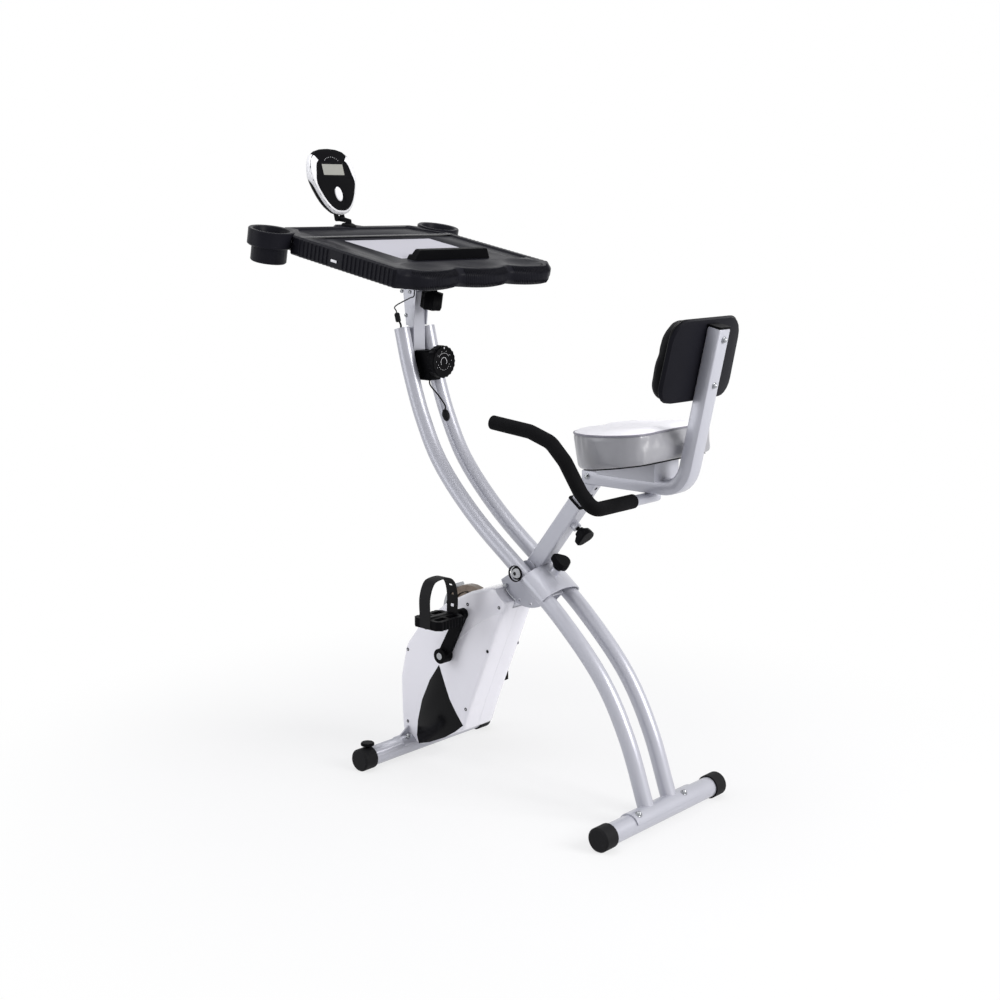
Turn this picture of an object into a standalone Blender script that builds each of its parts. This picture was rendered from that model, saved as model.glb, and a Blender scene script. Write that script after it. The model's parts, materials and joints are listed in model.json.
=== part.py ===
"""Folding desk exercise bike, built piece by piece in metres.

The rider faces -X and the rider's left side is -Y. +Z is up and the floor is Z = 0.
The origin lies on the floor, halfway along the bike.
Two frames cross at the pivot like scissors: the rear frame with the curved twin tubes, mast
and desk, and the front frame with the drive, its covers and the straight seat tube.
"""

import math

import bmesh
import bpy
from mathutils import Matrix, Vector

# Fits
CLEARANCE = 0.0003
RUNNING_GAP = 0.0005

# Feet
REAR_FOOT_X = 0.4758
FOOT_SPACING = 0.745
FOOT_RADIUS = 0.024
FOOT_WALL = 0.002
CAP_RADIUS = 0.028
CAP_LENGTH = 0.040
CAP_END_WALL = 0.005
CAP_FLAT = 0.001
FOOT_LENGTH = 0.463
SADDLE_WALL = 0.003
SADDLE_LENGTH = 0.236
FRONT_SADDLE_LENGTH = 0.190
TAB_RADIUS = 0.017
TAB_HEIGHT = 0.012
LEVELLER_STEM_RADIUS = 0.003
TAB_INSET = 0.031

# Pivot and the curved twin tubes
PIVOT_AHEAD = 0.376
PIVOT_HEIGHT = 0.531
PIVOT_BOLT_RADIUS = 0.005
PIVOT_HEAD_RADIUS = 0.017
PIVOT_HEAD_THICKNESS = 0.006
TUBE_RADIUS = 0.019
TUBE_WALL = 0.0018
TUBE_PITCH = 0.088
# Tube centreline from the mast end to the rear foot, as (ahead of the pivot, above the pivot)
TUBE_COURSE = (
    (0.3885, 0.5490),
    (0.3620, 0.4500),
    (0.3200, 0.3350),
    (0.2580, 0.2250),
    (0.1460, 0.1100),
    (0.0000, -0.0010),
    (-0.1210, -0.0950),
    (-0.2385, -0.2140),
    (-0.3130, -0.3400),
    (-0.3700, -0.4920),
)

# Lock bracket between the twin tubes
BRACKET_WALL = 0.004
SECTOR_RADIUS = 0.090
SECTOR_START = math.radians(203)
SECTOR_END = math.radians(298)
HUB_RADIUS = 0.024
LOCK_HOLE_RADIUS = 0.0805
LOCK_HOLE_ANGLES = (math.radians(216), math.radians(252), math.radians(277))
LOCK_PIN_RADIUS = 0.003
LOCK_PIN_HEAD_RADIUS = 0.006
CROSS_PLATE_START = 0.035
CROSS_PLATE_END = 0.086

# Straight seat tube
SEAT_TUBE_LEAN = math.radians(37.2)
SEAT_TUBE_SIZE = 0.040
SEAT_TUBE_WALL = 0.002
SEAT_TUBE_BELOW = 0.130
SEAT_TUBE_ABOVE = 0.221
BUSH_DEPTH = 0.040
BUSH_RIM = 0.004
SEAT_PIN_LEVEL = 0.170
SEAT_PIN_RADIUS = 0.005
BOSS_RADIUS = 0.011
BOSS_LENGTH = 0.013

# Half-pipe saddle that rests on the twin tubes when the bike is open
STOP_START = 0.0205
STOP_LENGTH = 0.076
STOP_WALL = 0.003
STOP_HALF_WIDTH = 0.0645
STOP_RISE = 0.030
STOP_BASE = 0.004
FOLD_PIN_PLACE = 0.048
FOLD_PIN_RADIUS = 0.005
FOLD_BOSS_HEIGHT = 0.016

# Three-lobed pull knobs
KNOB_RADIUS = 0.0235
KNOB_LOBE = 0.0030
KNOB_DEPTH = 0.026

# Drive
CRANK_AHEAD = 0.605
CRANK_HEIGHT = 0.290
CRANK_ANGLE = math.radians(62)
CRANK_LENGTH = 0.130
AXLE_RADIUS = 0.0085
AXLE_HALF = 0.088
BEARING_SHELL_RADIUS = 0.020
BEARING_SHELL_HALF = 0.026
ARM_INNER = 0.0640
ARM_THICKNESS = 0.013
ARM_HUB_RADIUS = 0.0190
ARM_END_RADIUS = 0.0140
ARM_BOSS = 0.010
FLYWHEEL_AHEAD = 0.575
FLYWHEEL_HEIGHT = 0.385
FLYWHEEL_RADIUS = 0.075
FLYWHEEL_WIDTH = 0.022
FLYWHEEL_AXLE_RADIUS = 0.006
DRIVE_PULLEY_RADIUS = 0.068
SMALL_PULLEY_RADIUS = 0.021
PULLEY_INNER = 0.0290
PULLEY_WIDTH = 0.013
BELT_WIDTH = 0.009
BELT_THICKNESS = 0.003
DRIVE_PLATE_WALL = 0.004
MAGNET_GAP = 0.002
MAGNET_THICKNESS = 0.008

# Covers round the drive
COVER_HALF = 0.055
COVER_WALL = 0.0025
COVER_EDGE = 0.007
COVER_PIVOT_CUT = 0.0935

# Pedals
PEDAL_CENTRE = 0.152
PEDAL_LENGTH = 0.092
PEDAL_DEPTH = 0.090
PEDAL_THICKNESS = 0.022
SPINDLE_RADIUS = 0.006
PEDAL_BARREL_RADIUS = 0.0125
STRAP_WIDTH = 0.034
STRAP_THICKNESS = 0.0025
STRAP_RISE = 0.104

# Seat
POST_SIZE = 0.031
POST_WALL = 0.002
POST_INSERT = 0.146
ARM_DEPTH = 0.033
ARM_WIDTH = 0.040
ARM_WALL = 0.002
ARM_HEIGHT = 0.7725
ARM_FRONT_AHEAD = 0.222
ARM_CORNER_AHEAD = -0.0495
ARM_BEND = 0.066
BACK_LEAN = math.radians(12.1)
BACK_POST_TOP = ARM_HEIGHT + 0.3535
POST_CAP_THICKNESS = 0.004
SEAT_TILT = math.radians(9.9)
SEAT_AHEAD = 0.080
SEAT_BASE_HEIGHT = ARM_HEIGHT + 0.045
SEAT_FRONT = 0.122
SEAT_REAR = 0.124
SEAT_HALF_WIDTH = 0.165
SEAT_THICKNESS = 0.070
SEAT_CROWN = 0.021
SEAT_GROOVE = 0.006
# Slope of the seat's top against its base, so that it lies nearly level
SEAT_WEDGE = 0.09
SEAT_MOUNT_HALF = 0.045
BACK_HALF_WIDTH = 0.129
BACK_HALF_HEIGHT = 0.090
BACK_CENTRE_HEIGHT = ARM_HEIGHT + 0.2815
BACK_BOW = 0.006
BACK_SHELL_THICKNESS = 0.011
BACK_PAD_THICKNESS = 0.032
BACK_LUMBAR = 0.014

# Handle
HANDLE_TUBE_RADIUS = 0.012
HANDLE_TUBE_WALL = 0.002
GRIP_RADIUS = 0.016
HANDLE_AHEAD = 0.045
HANDLE_SIDE = 0.200
HANDLE_BEND = 0.034
# Handle bends seen from the side, as (ahead of the cross part, above it)
HANDLE_COURSE = ((0.036, 0.034), (0.078, 0.095), (0.118, 0.133), (0.176, 0.151), (0.283, 0.161))

# Mast and resistance dial
MAST_AHEAD = 0.757
MAST_DEPTH = 0.020
MAST_WIDTH = 0.040
MAST_WALL = 0.002
MAST_FOOT = 0.950
WEB_LOW = 0.985
WEB_HIGH = 1.055
WEB_WALL = 0.004
MAST_PLATE_WALL = 0.003
BLOCK_DEPTH = 0.052
BLOCK_LOW = 0.954
BLOCK_HIGH = 1.026
DIAL_RADIUS = 0.0390
DIAL_FLUTE = 0.0010
DIAL_FLUTES = 20
DIAL_DEPTH = 0.031
DIAL_HEIGHT = 1.001

# Desk
DESK_AHEAD = 0.551
DESK_HEIGHT = 1.236
MAST_TOP = DESK_HEIGHT - 0.068
# Foot of the bracket's cheeks on the mast
CHEEK_FOOT = DESK_HEIGHT - 0.150
DESK_TILT = math.radians(11.1)
DESK_HALF_WIDTH = 0.270
DESK_DEPTH = 0.452
DESK_THICKNESS = 0.046
DESK_SKIN = 0.014
FRONT_TAB = 0.022
DESK_RIM = 0.016
DESK_LOBE_PITCH = 0.172
DESK_LOBE_RADIUS = 0.165
DESK_LOBE_REACH = 0.046
DISH_RADIUS = 0.062
DISH_DEPTH = 0.008
WELL_DEPTH = 0.004
RIB_COUNT = 24
RIB_DEPTH = 0.0035
RIB_START = 0.006
RIB_END = 0.335
CUP_PLACE = 0.412
CUP_SIDE = 0.287
CUP_RADIUS = 0.055
CUP_LOWER_RADIUS = 0.0435
CUP_WALL = 0.003
CUP_RIM_HEIGHT = 0.004
CUP_UPPER_DEPTH = 0.036
CUP_DEPTH = 0.074
INLAY_START = 0.110
INLAY_END = 0.307
INLAY_HALF = 0.147
INLAY_THICKNESS = 0.003
STOP_BAR_PLACE = 0.096
STOP_BAR_DEPTH = 0.026
STOP_BAR_HALF = 0.130
STOP_BAR_HEIGHT = 0.024
BAND_PLACE = 0.335
BAND_WIDTH = 0.012
BAND_THICKNESS = 0.0015
BAND_HALF = 0.264
RAIL_HALF_WIDTH = 0.032
RAIL_LENGTH = 0.230
RAIL_THICKNESS = 0.012
CARRIAGE_THICKNESS = 0.005
CARRIAGE_AHEAD = 0.048
# Clamp's distance from the mast's middle, towards the rider
CLAMP_SPACING = 0.0689
CLAMP_STEM = 0.064
CLAMP_DEPTH = 0.040

# Monitor
STEM_PLACE = 0.450
STEM_RADIUS = 0.007
HINGE_DROP = 0.050
HINGE_BARREL_RADIUS = 0.0068
HINGE_BARREL_HALF = 0.0072
HINGE_LUG_WIDTH = 0.005
MONITOR_TILT = math.radians(17)
MONITOR_HALF_WIDTH = 0.077
MONITOR_TOP = 0.130
MONITOR_BOTTOM = 0.042
MONITOR_DEPTH = 0.040
MONITOR_HEIGHT = DESK_HEIGHT + 0.152
MONITOR_AHEAD = 1.042
SCREEN_WIDTH = 0.070
SCREEN_HEIGHT = 0.028
BUTTON_WIDTH = 0.024
BUTTON_HEIGHT = 0.038

Y_AXIS = Vector((0, 1, 0))
ROOT = Vector((0, 0, 0))


def place(ahead, side, height):
    """Point given by its distance ahead of the rear foot's axis, its side and its height."""
    return Vector((REAR_FOOT_X - ahead, side, height))


PIVOT = place(PIVOT_AHEAD, 0, PIVOT_HEIGHT)
CRANK = place(CRANK_AHEAD, 0, CRANK_HEIGHT)
FLYWHEEL = place(FLYWHEEL_AHEAD, 0, FLYWHEEL_HEIGHT)
REAR_FOOT = place(0, 0, CAP_RADIUS - CAP_FLAT)
FRONT_FOOT = place(FOOT_SPACING, 0, CAP_RADIUS - CAP_FLAT)

# Along the seat tube: X is square to it towards the rear, Z runs up it, from the pivot
LEG = Matrix.Translation(PIVOT) @ Matrix.Rotation(SEAT_TUBE_LEAN, 4, "Y")
# On the desk: X runs towards the rider, Z is square to its top
DESK = Matrix.Translation(place(DESK_AHEAD, 0, DESK_HEIGHT)) @ Matrix.Rotation(DESK_TILT, 4, "Y")
# Turned so that local Z runs along -Y, for outlines drawn in the XZ plane
SIDEWAYS = Matrix.Rotation(math.radians(90), 4, "X")


def clear_scene():
    """Remove whatever the file holds."""
    for item in list(bpy.data.objects):
        bpy.data.objects.remove(item)


def make_material(name, colour, roughness, metallic=0.0):
    """Principled material of one finish."""
    material = bpy.data.materials.new(name)
    material.use_nodes = True
    shader = material.node_tree.nodes["Principled BSDF"]
    shader.inputs["Base Color"].default_value = (*colour, 1.0)
    shader.inputs["Roughness"].default_value = roughness
    shader.inputs["Metallic"].default_value = metallic
    return material


class Body:
    """A group of pieces that move together, hung on an empty at its joint's axis."""

    def __init__(self, name, origin, parent=None):
        self.origin = Vector(origin)
        self.empty = bpy.data.objects.new(name, None)
        bpy.context.scene.collection.objects.link(self.empty)
        self.empty.empty_display_size = 0.03
        base = parent.origin if parent else ROOT
        self.empty.parent = parent.empty if parent else None
        self.empty.location = self.origin - base


def add_piece(name, shape, material, body, smooth=35.0):
    """Turn a bmesh in world places into a named object that hangs on its body's empty."""
    bmesh.ops.remove_doubles(shape, verts=shape.verts[:], dist=0.000002)
    bmesh.ops.recalc_face_normals(shape, faces=shape.faces[:])
    bmesh.ops.translate(shape, vec=-body.origin, verts=shape.verts[:])
    mesh = bpy.data.meshes.new(name)
    shape.to_mesh(mesh)
    shape.free()
    mesh.shade_smooth()
    mesh.set_sharp_from_angle(angle=math.radians(smooth))
    if material:
        mesh.materials.append(material)
    piece = bpy.data.objects.new(name, mesh)
    bpy.context.scene.collection.objects.link(piece)
    piece.parent = body.empty
    return piece


def combine(piece, shape, body, operation):
    """Boolean of a piece with a hidden tool shape."""
    tool = add_piece(piece.name + "_tool", shape, None, body)
    tool.hide_render = True
    tool.display_type = "WIRE"
    change = piece.modifiers.new(operation.title(), "BOOLEAN")
    change.operation = operation
    change.object = tool
    change.solver = "EXACT"


def cut(piece, shape, body):
    """Cut a shape out of a piece."""
    combine(piece, shape, body, "DIFFERENCE")


def join(piece, shape, body):
    """Join a shape to a piece."""
    combine(piece, shape, body, "UNION")


def soften(piece, width, segments=2, angle=40.0):
    """Round the sharp edges of a piece."""
    bevel = piece.modifiers.new("Bevel", "BEVEL")
    bevel.width = width
    bevel.segments = segments
    bevel.limit_method = "ANGLE"
    bevel.angle_limit = math.radians(angle)


def prism(outline, depth, matrix):
    """Outline in local XY pushed out by depth along local Z."""
    shape = bmesh.new()
    face = shape.faces.new([shape.verts.new((x, y, 0)) for x, y in outline])
    pushed = bmesh.ops.extrude_face_region(shape, geom=[face])
    moved = [item for item in pushed["geom"] if isinstance(item, bmesh.types.BMVert)]
    bmesh.ops.translate(shape, vec=(0, 0, depth), verts=moved)
    bmesh.ops.transform(shape, matrix=matrix, verts=shape.verts[:])
    return shape


def side_plate(outline, low, high):
    """Plate square to Y between two sides, from an outline of X and Z."""
    return prism(outline, high - low, Matrix.Translation((0, high, 0)) @ SIDEWAYS)


def ahead_outline(points):
    """Outline points given as (ahead of the rear foot, height), as X and Z."""
    return [(REAR_FOOT_X - ahead, height) for ahead, height in points]


def block(low, high, matrix=Matrix.Identity(4)):
    """Box between two corners."""
    outline = [(low[0], low[1]), (high[0], low[1]), (high[0], high[1]), (low[0], high[1])]
    return prism(outline, high[2] - low[2], matrix @ Matrix.Translation((0, 0, low[2])))


def turned(profile, matrix, steps=24, ring=False):
    """Profile of (radius, height) turned about local Z; a ring's profile closes on itself."""
    shape = bmesh.new()
    points = [shape.verts.new((radius, 0, height)) for radius, height in profile]
    edges = [shape.edges.new(pair) for pair in zip(points, points[1:])]
    if ring:
        edges.append(shape.edges.new((points[-1], points[0])))
    bmesh.ops.spin(
        shape, geom=points + edges, axis=(0, 0, 1), cent=(0, 0, 0),
        angle=math.tau, steps=steps, use_merge=True, use_duplicate=False,
    )
    bmesh.ops.remove_doubles(shape, verts=shape.verts[:], dist=0.000002)
    bmesh.ops.transform(shape, matrix=matrix, verts=shape.verts[:])
    return shape


def aim(start, direction):
    """Frame at start whose Z runs along a direction."""
    axis = Vector(direction).normalized()
    return Matrix.Translation(start) @ axis.to_track_quat("Z", "Y").to_matrix().to_4x4()


def rod(radius, start, end, steps=24):
    """Round bar between two points."""
    start, end = Vector(start), Vector(end)
    length = (end - start).length
    return turned([(0, 0), (radius, 0), (radius, length), (0, length)], aim(start, end - start), steps)


def pipe(outer, inner, start, end, steps=24):
    """Round tube between two points, open at both ends."""
    start, end = Vector(start), Vector(end)
    length = (end - start).length
    profile = [(inner, 0), (outer, 0), (outer, length), (inner, length)]
    return turned(profile, aim(start, end - start), steps, ring=True)


def arc(centre, radius, start, end, steps):
    """Points on an arc, both ends included; angles in radians."""
    angles = [start + (end - start) * step / steps for step in range(steps + 1)]
    return [(centre[0] + radius * math.cos(a), centre[1] + radius * math.sin(a)) for a in angles]


def rounded(points, radius, steps=4):
    """Polygon with its corners rounded; radius is one value or one for each corner."""
    count = len(points)
    radii = radius if isinstance(radius, (list, tuple)) else [radius] * count
    result = []
    for index, point in enumerate(points):
        here = Vector(point)
        back = (Vector(points[index - 1]) - here).normalized()
        onward = (Vector(points[(index + 1) % count]) - here).normalized()
        half = back.angle(onward) / 2
        if radii[index] <= 0 or half > math.radians(89):
            result.append((here.x, here.y))
            continue
        reach = radii[index] / math.tan(half)
        start, end = here + back * reach, here + onward * reach
        centre = here + (back + onward).normalized() * (radii[index] / math.sin(half))
        first, last = start - centre, end - centre
        turn = first.angle_signed(last)
        for step in range(steps + 1):
            spun = Matrix.Rotation(-turn * step / steps, 2) @ first
            result.append((centre.x + spun.x, centre.y + spun.y))
    return result


def smooth_course(points, steps):
    """Smooth curve through points of any size, as many steps between each pair."""
    points = [Vector(point) for point in points]
    padded = [2 * points[0] - points[1]] + points + [2 * points[-1] - points[-2]]
    result = []
    for first, start, end, last in zip(padded, padded[1:], padded[2:], padded[3:]):
        for step in range(steps):
            t = step / steps
            result.append(0.5 * (
                2 * start + (end - first) * t
                + (2 * first - 5 * start + 4 * end - last) * t * t
                + (3 * start - first - 3 * end + last) * t * t * t
            ))
    return result + [points[-1]]


def band(course, thickness):
    """Outline of a strip of even thickness along a course of 2D points."""
    course = [Vector(point) for point in course]
    left, right = [], []
    for index, point in enumerate(course):
        before = course[max(index - 1, 0)]
        after = course[min(index + 1, len(course) - 1)]
        along = (after - before).normalized()
        across = Vector((-along.y, along.x)) * (thickness / 2)
        left.append(tuple(point + across))
        right.append(tuple(point - across))
    return left + right[::-1]


def bent_course(points, radius, steps=6):
    """Open 2D or 3D course of straight runs with round bends."""
    points = [Vector(point) for point in points]
    result = [points[0]]
    for before, here, after in zip(points, points[1:], points[2:]):
        back, onward = (before - here).normalized(), (after - here).normalized()
        half = back.angle(onward) / 2
        reach = min(radius / math.tan(half), (before - here).length * 0.49, (after - here).length * 0.49)
        start, end = here + back * reach, here + onward * reach
        for step in range(steps + 1):
            t = step / steps
            result.append((1 - t) ** 2 * start + 2 * t * (1 - t) * here + t * t * end)
    return result + [points[-1]]


def bevelled_curve(name, course, radius, resolution):
    """Curve along a course with a round section and closed ends."""
    curve = bpy.data.curves.new(name, "CURVE")
    curve.dimensions = "3D"
    curve.bevel_depth = radius
    curve.bevel_resolution = resolution
    curve.use_fill_caps = True
    spline = curve.splines.new("POLY")
    spline.points.add(len(course) - 1)
    for point, target in zip(spline.points, course):
        point.co = (*target, 1)
    return curve


def add_cord(name, course, radius, material, body):
    """Thin cord as a curve object."""
    local = [point - body.origin for point in course]
    curve = bevelled_curve(name, local, radius, 2)
    curve.materials.append(material)
    cord = bpy.data.objects.new(name, curve)
    bpy.context.scene.collection.objects.link(cord)
    cord.parent = body.empty
    return cord


def swept(course, radius, resolution):
    """Round section carried along a course, as a closed shape."""
    carrier = bpy.data.objects.new("course", bevelled_curve("course", course, radius, resolution))
    mesh = bpy.data.meshes.new_from_object(carrier)
    shape = bmesh.new()
    shape.from_mesh(mesh)
    bpy.data.objects.remove(carrier)
    bpy.data.meshes.remove(mesh)
    bmesh.ops.remove_doubles(shape, verts=shape.verts[:], dist=0.000002)
    return shape


def lengthened(course, reach):
    """Course carried on straight past both of its ends."""
    before = course[0] + (course[0] - course[1]).normalized() * reach
    after = course[-1] + (course[-1] - course[-2]).normalized() * reach
    return [before] + course + [after]


def inset(outline, distance):
    """Outline moved inwards by a distance, corner by corner."""
    area = sum(a[0] * b[1] - b[0] * a[1] for a, b in zip(outline, outline[1:] + outline[:1]))
    sign = 1 if area > 0 else -1
    result = []
    for index, point in enumerate(outline):
        here = Vector(point)
        into = (here - Vector(outline[index - 1])).normalized()
        out = (Vector(outline[(index + 1) % len(outline)]) - here).normalized()
        first, second = Vector((-into.y, into.x)) * sign, Vector((-out.y, out.x)) * sign
        middle = (first + second).normalized()
        result.append(tuple(here + middle * (distance / max(middle.dot(first), 0.3))))
    return result


def ring_stack(plan, levels, warp=None, matrix=Matrix.Identity(4)):
    """Plan outline raised through levels of (scale, height), closed by a fan at each end."""
    shape = bmesh.new()
    first_scale, first_height = levels[0]
    base = [shape.verts.new((x * first_scale, y * first_scale, first_height)) for x, y in plan]
    face = shape.faces.new(base)
    ends = [face]
    scale, height = first_scale, first_height
    for next_scale, next_height in levels[1:]:
        below = face
        pushed = bmesh.ops.extrude_face_region(shape, geom=[face])["geom"]
        moved = [item for item in pushed if isinstance(item, bmesh.types.BMVert)]
        face = next(item for item in pushed if isinstance(item, bmesh.types.BMFace))
        ratio = next_scale / scale
        bmesh.ops.scale(shape, vec=(ratio, ratio, 1), verts=moved)
        bmesh.ops.translate(shape, vec=(0, 0, next_height - height), verts=moved)
        if below is not ends[0]:
            bmesh.ops.delete(shape, geom=[below], context="FACES_ONLY")
        scale, height = next_scale, next_height
    ends.append(face)
    bmesh.ops.poke(shape, faces=ends)
    if warp:
        for vertex in shape.verts:
            vertex.co = warp(vertex.co)
    bmesh.ops.transform(shape, matrix=matrix, verts=shape.verts[:])
    return shape


def square_outline(size, corner=0.0, steps=3):
    """Square of a size about the origin, with rounded corners."""
    half = size / 2
    corners = [(-half, -half), (half, -half), (half, half), (-half, half)]
    return rounded(corners, corner, steps) if corner else corners


def on_both_sides():
    """Side name and sign for each side; the rider's left is -Y."""
    return (("left", -1), ("right", 1))


# Finishes
def make_finishes():
    """One Principled material for each finish on the bike."""
    return {
        "frame_paint": make_material("frame_paint", (0.80, 0.80, 0.83), 0.35),
        "cover_gloss": make_material("cover_gloss", (0.90, 0.90, 0.93), 0.18),
        "black_plastic": make_material("black_plastic", (0.025, 0.025, 0.028), 0.45),
        "desk_plastic": make_material("desk_plastic", (0.05, 0.05, 0.055), 0.35),
        "inlay_grey": make_material("inlay_grey", (0.72, 0.72, 0.76), 0.40),
        "foam": make_material("foam", (0.02, 0.02, 0.022), 0.85),
        "seat_leather": make_material("seat_leather", (0.78, 0.78, 0.80), 0.40),
        "back_leather": make_material("back_leather", (0.03, 0.03, 0.033), 0.55),
        "steel": make_material("steel", (0.62, 0.62, 0.64), 0.30, 1.0),
        "rubber": make_material("rubber", (0.02, 0.02, 0.02), 0.75),
        "screen": make_material("screen", (0.52, 0.53, 0.48), 0.15),
        "white_plastic": make_material("white_plastic", (0.85, 0.85, 0.87), 0.30),
        "elastic": make_material("elastic", (0.02, 0.02, 0.022), 0.80),
    }


def tube_course(side):
    """Centreline of one curved frame tube in world places."""
    points = [Vector((PIVOT.x - ahead, side, PIVOT.z + height)) for ahead, height in TUBE_COURSE]
    return smooth_course(points, 2)


def foot(name, centre, body, finishes, saddle=None, levellers=None):
    """Foot tube with an end cap on each side; the front one has its saddle and levelling discs."""
    half = FOOT_LENGTH / 2 - CAP_END_WALL - CLEARANCE
    ends = [centre + Y_AXIS * sign * half for sign in (-1, 1)]
    tube = add_piece(
        name + "_foot_tube", pipe(FOOT_RADIUS, FOOT_RADIUS - FOOT_WALL, *ends), finishes["frame_paint"], body)
    if saddle:
        join(tube, saddle, body)
    for side, sign in on_both_sides():
        cap_profile = [
            (0, 0), (CAP_RADIUS - 0.004, 0), (CAP_RADIUS, 0.004), (CAP_RADIUS, CAP_LENGTH),
            (FOOT_RADIUS + CLEARANCE, CAP_LENGTH), (
                FOOT_RADIUS + CLEARANCE, CAP_END_WALL), (0, CAP_END_WALL),
        ]
        start = centre + Y_AXIS * sign * FOOT_LENGTH / 2
        cap = add_piece(
            "%s_%s_cap" % (side, name), turned(cap_profile, aim(start, -sign * Y_AXIS)),
            finishes["rubber"], body)
        spread = Vector((CAP_RADIUS, CAP_LENGTH * 2, 0))
        cut(
            cap,
            block(Vector((start.x, start.y, -0.01)) - spread, Vector((start.x, start.y, 0)) + spread),
            body)
        if levellers:
            top = levellers[side].origin
            wall = CAP_RADIUS - FOOT_RADIUS - 2 * CLEARANCE
            stem = LEVELLER_STEM_RADIUS
            profile = [
                (0, -wall), (stem, -wall), (stem, CLEARANCE), (0.007, CLEARANCE), (0.007, 0.0045),
                (TAB_RADIUS - 0.001, 0.0045), (TAB_RADIUS, 0.0055), (TAB_RADIUS, TAB_HEIGHT - 0.002),
                (TAB_RADIUS - 0.002, TAB_HEIGHT), (0, TAB_HEIGHT),
            ]
            add_piece(
                side + "_leveller", turned(profile, Matrix.Translation(top), 18), finishes["black_plastic"],
                levellers[side])
            deep = Vector((0, 0, 0.006))
            cut(cap, rod(stem + CLEARANCE, top - deep, top + deep, 16), body)
    return tube


def leveller_seat(sign):
    """Top of a front cap under its levelling disc."""
    return FRONT_FOOT + Vector((0, sign * (FOOT_LENGTH / 2 - TAB_INSET), CAP_RADIUS))


def saddle_shell(centre, length, low_angle, inner):
    """Part of a pipe that hugs a foot tube from above."""
    outer = inner + SADDLE_WALL
    start, end = low_angle, math.pi - low_angle
    outline = arc(
        (centre.x, centre.z), outer, start, end, 12) + arc((centre.x, centre.z), inner, end, start, 12)
    return side_plate(outline, -length / 2, length / 2)


def build_rear_frame(frame, finishes):
    """Rear foot, its saddle and the curved twin tubes."""
    foot("rear", REAR_FOOT, frame, finishes)
    add_piece(
        "rear_saddle",
        saddle_shell(REAR_FOOT, SADDLE_LENGTH, math.radians(15), FOOT_RADIUS + CLEARANCE),
        finishes["frame_paint"], frame)
    seat_radius = FOOT_RADIUS + CLEARANCE + SADDLE_WALL + CLEARANCE
    for side, sign in on_both_sides():
        offset = sign * TUBE_PITCH / 2
        course = tube_course(offset)
        tube = add_piece(
            side + "_frame_tube", swept(course, TUBE_RADIUS, 6), finishes["frame_paint"], frame)
        cut(tube, swept(lengthened(course, 0.02), TUBE_RADIUS - TUBE_WALL, 2), frame)
        reach = Y_AXIS * TUBE_RADIUS * 1.3
        centre = Vector((0, offset, 0))
        cut(tube, rod(seat_radius, REAR_FOOT + centre - reach, REAR_FOOT + centre + reach, 32), frame)
        hole = PIVOT_BOLT_RADIUS + CLEARANCE
        cut(tube, rod(hole, PIVOT + centre - reach, PIVOT + centre + reach, 14), frame)


def lock_hole(angle):
    """Centre of one hole in the sector plates, as X and Z."""
    return (PIVOT.x + LOCK_HOLE_RADIUS * math.cos(angle), PIVOT.z + LOCK_HOLE_RADIUS * math.sin(angle))


def bracket_half():
    """Half the outside width of the lock bracket."""
    return TUBE_PITCH / 2 - TUBE_RADIUS - RUNNING_GAP


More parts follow.
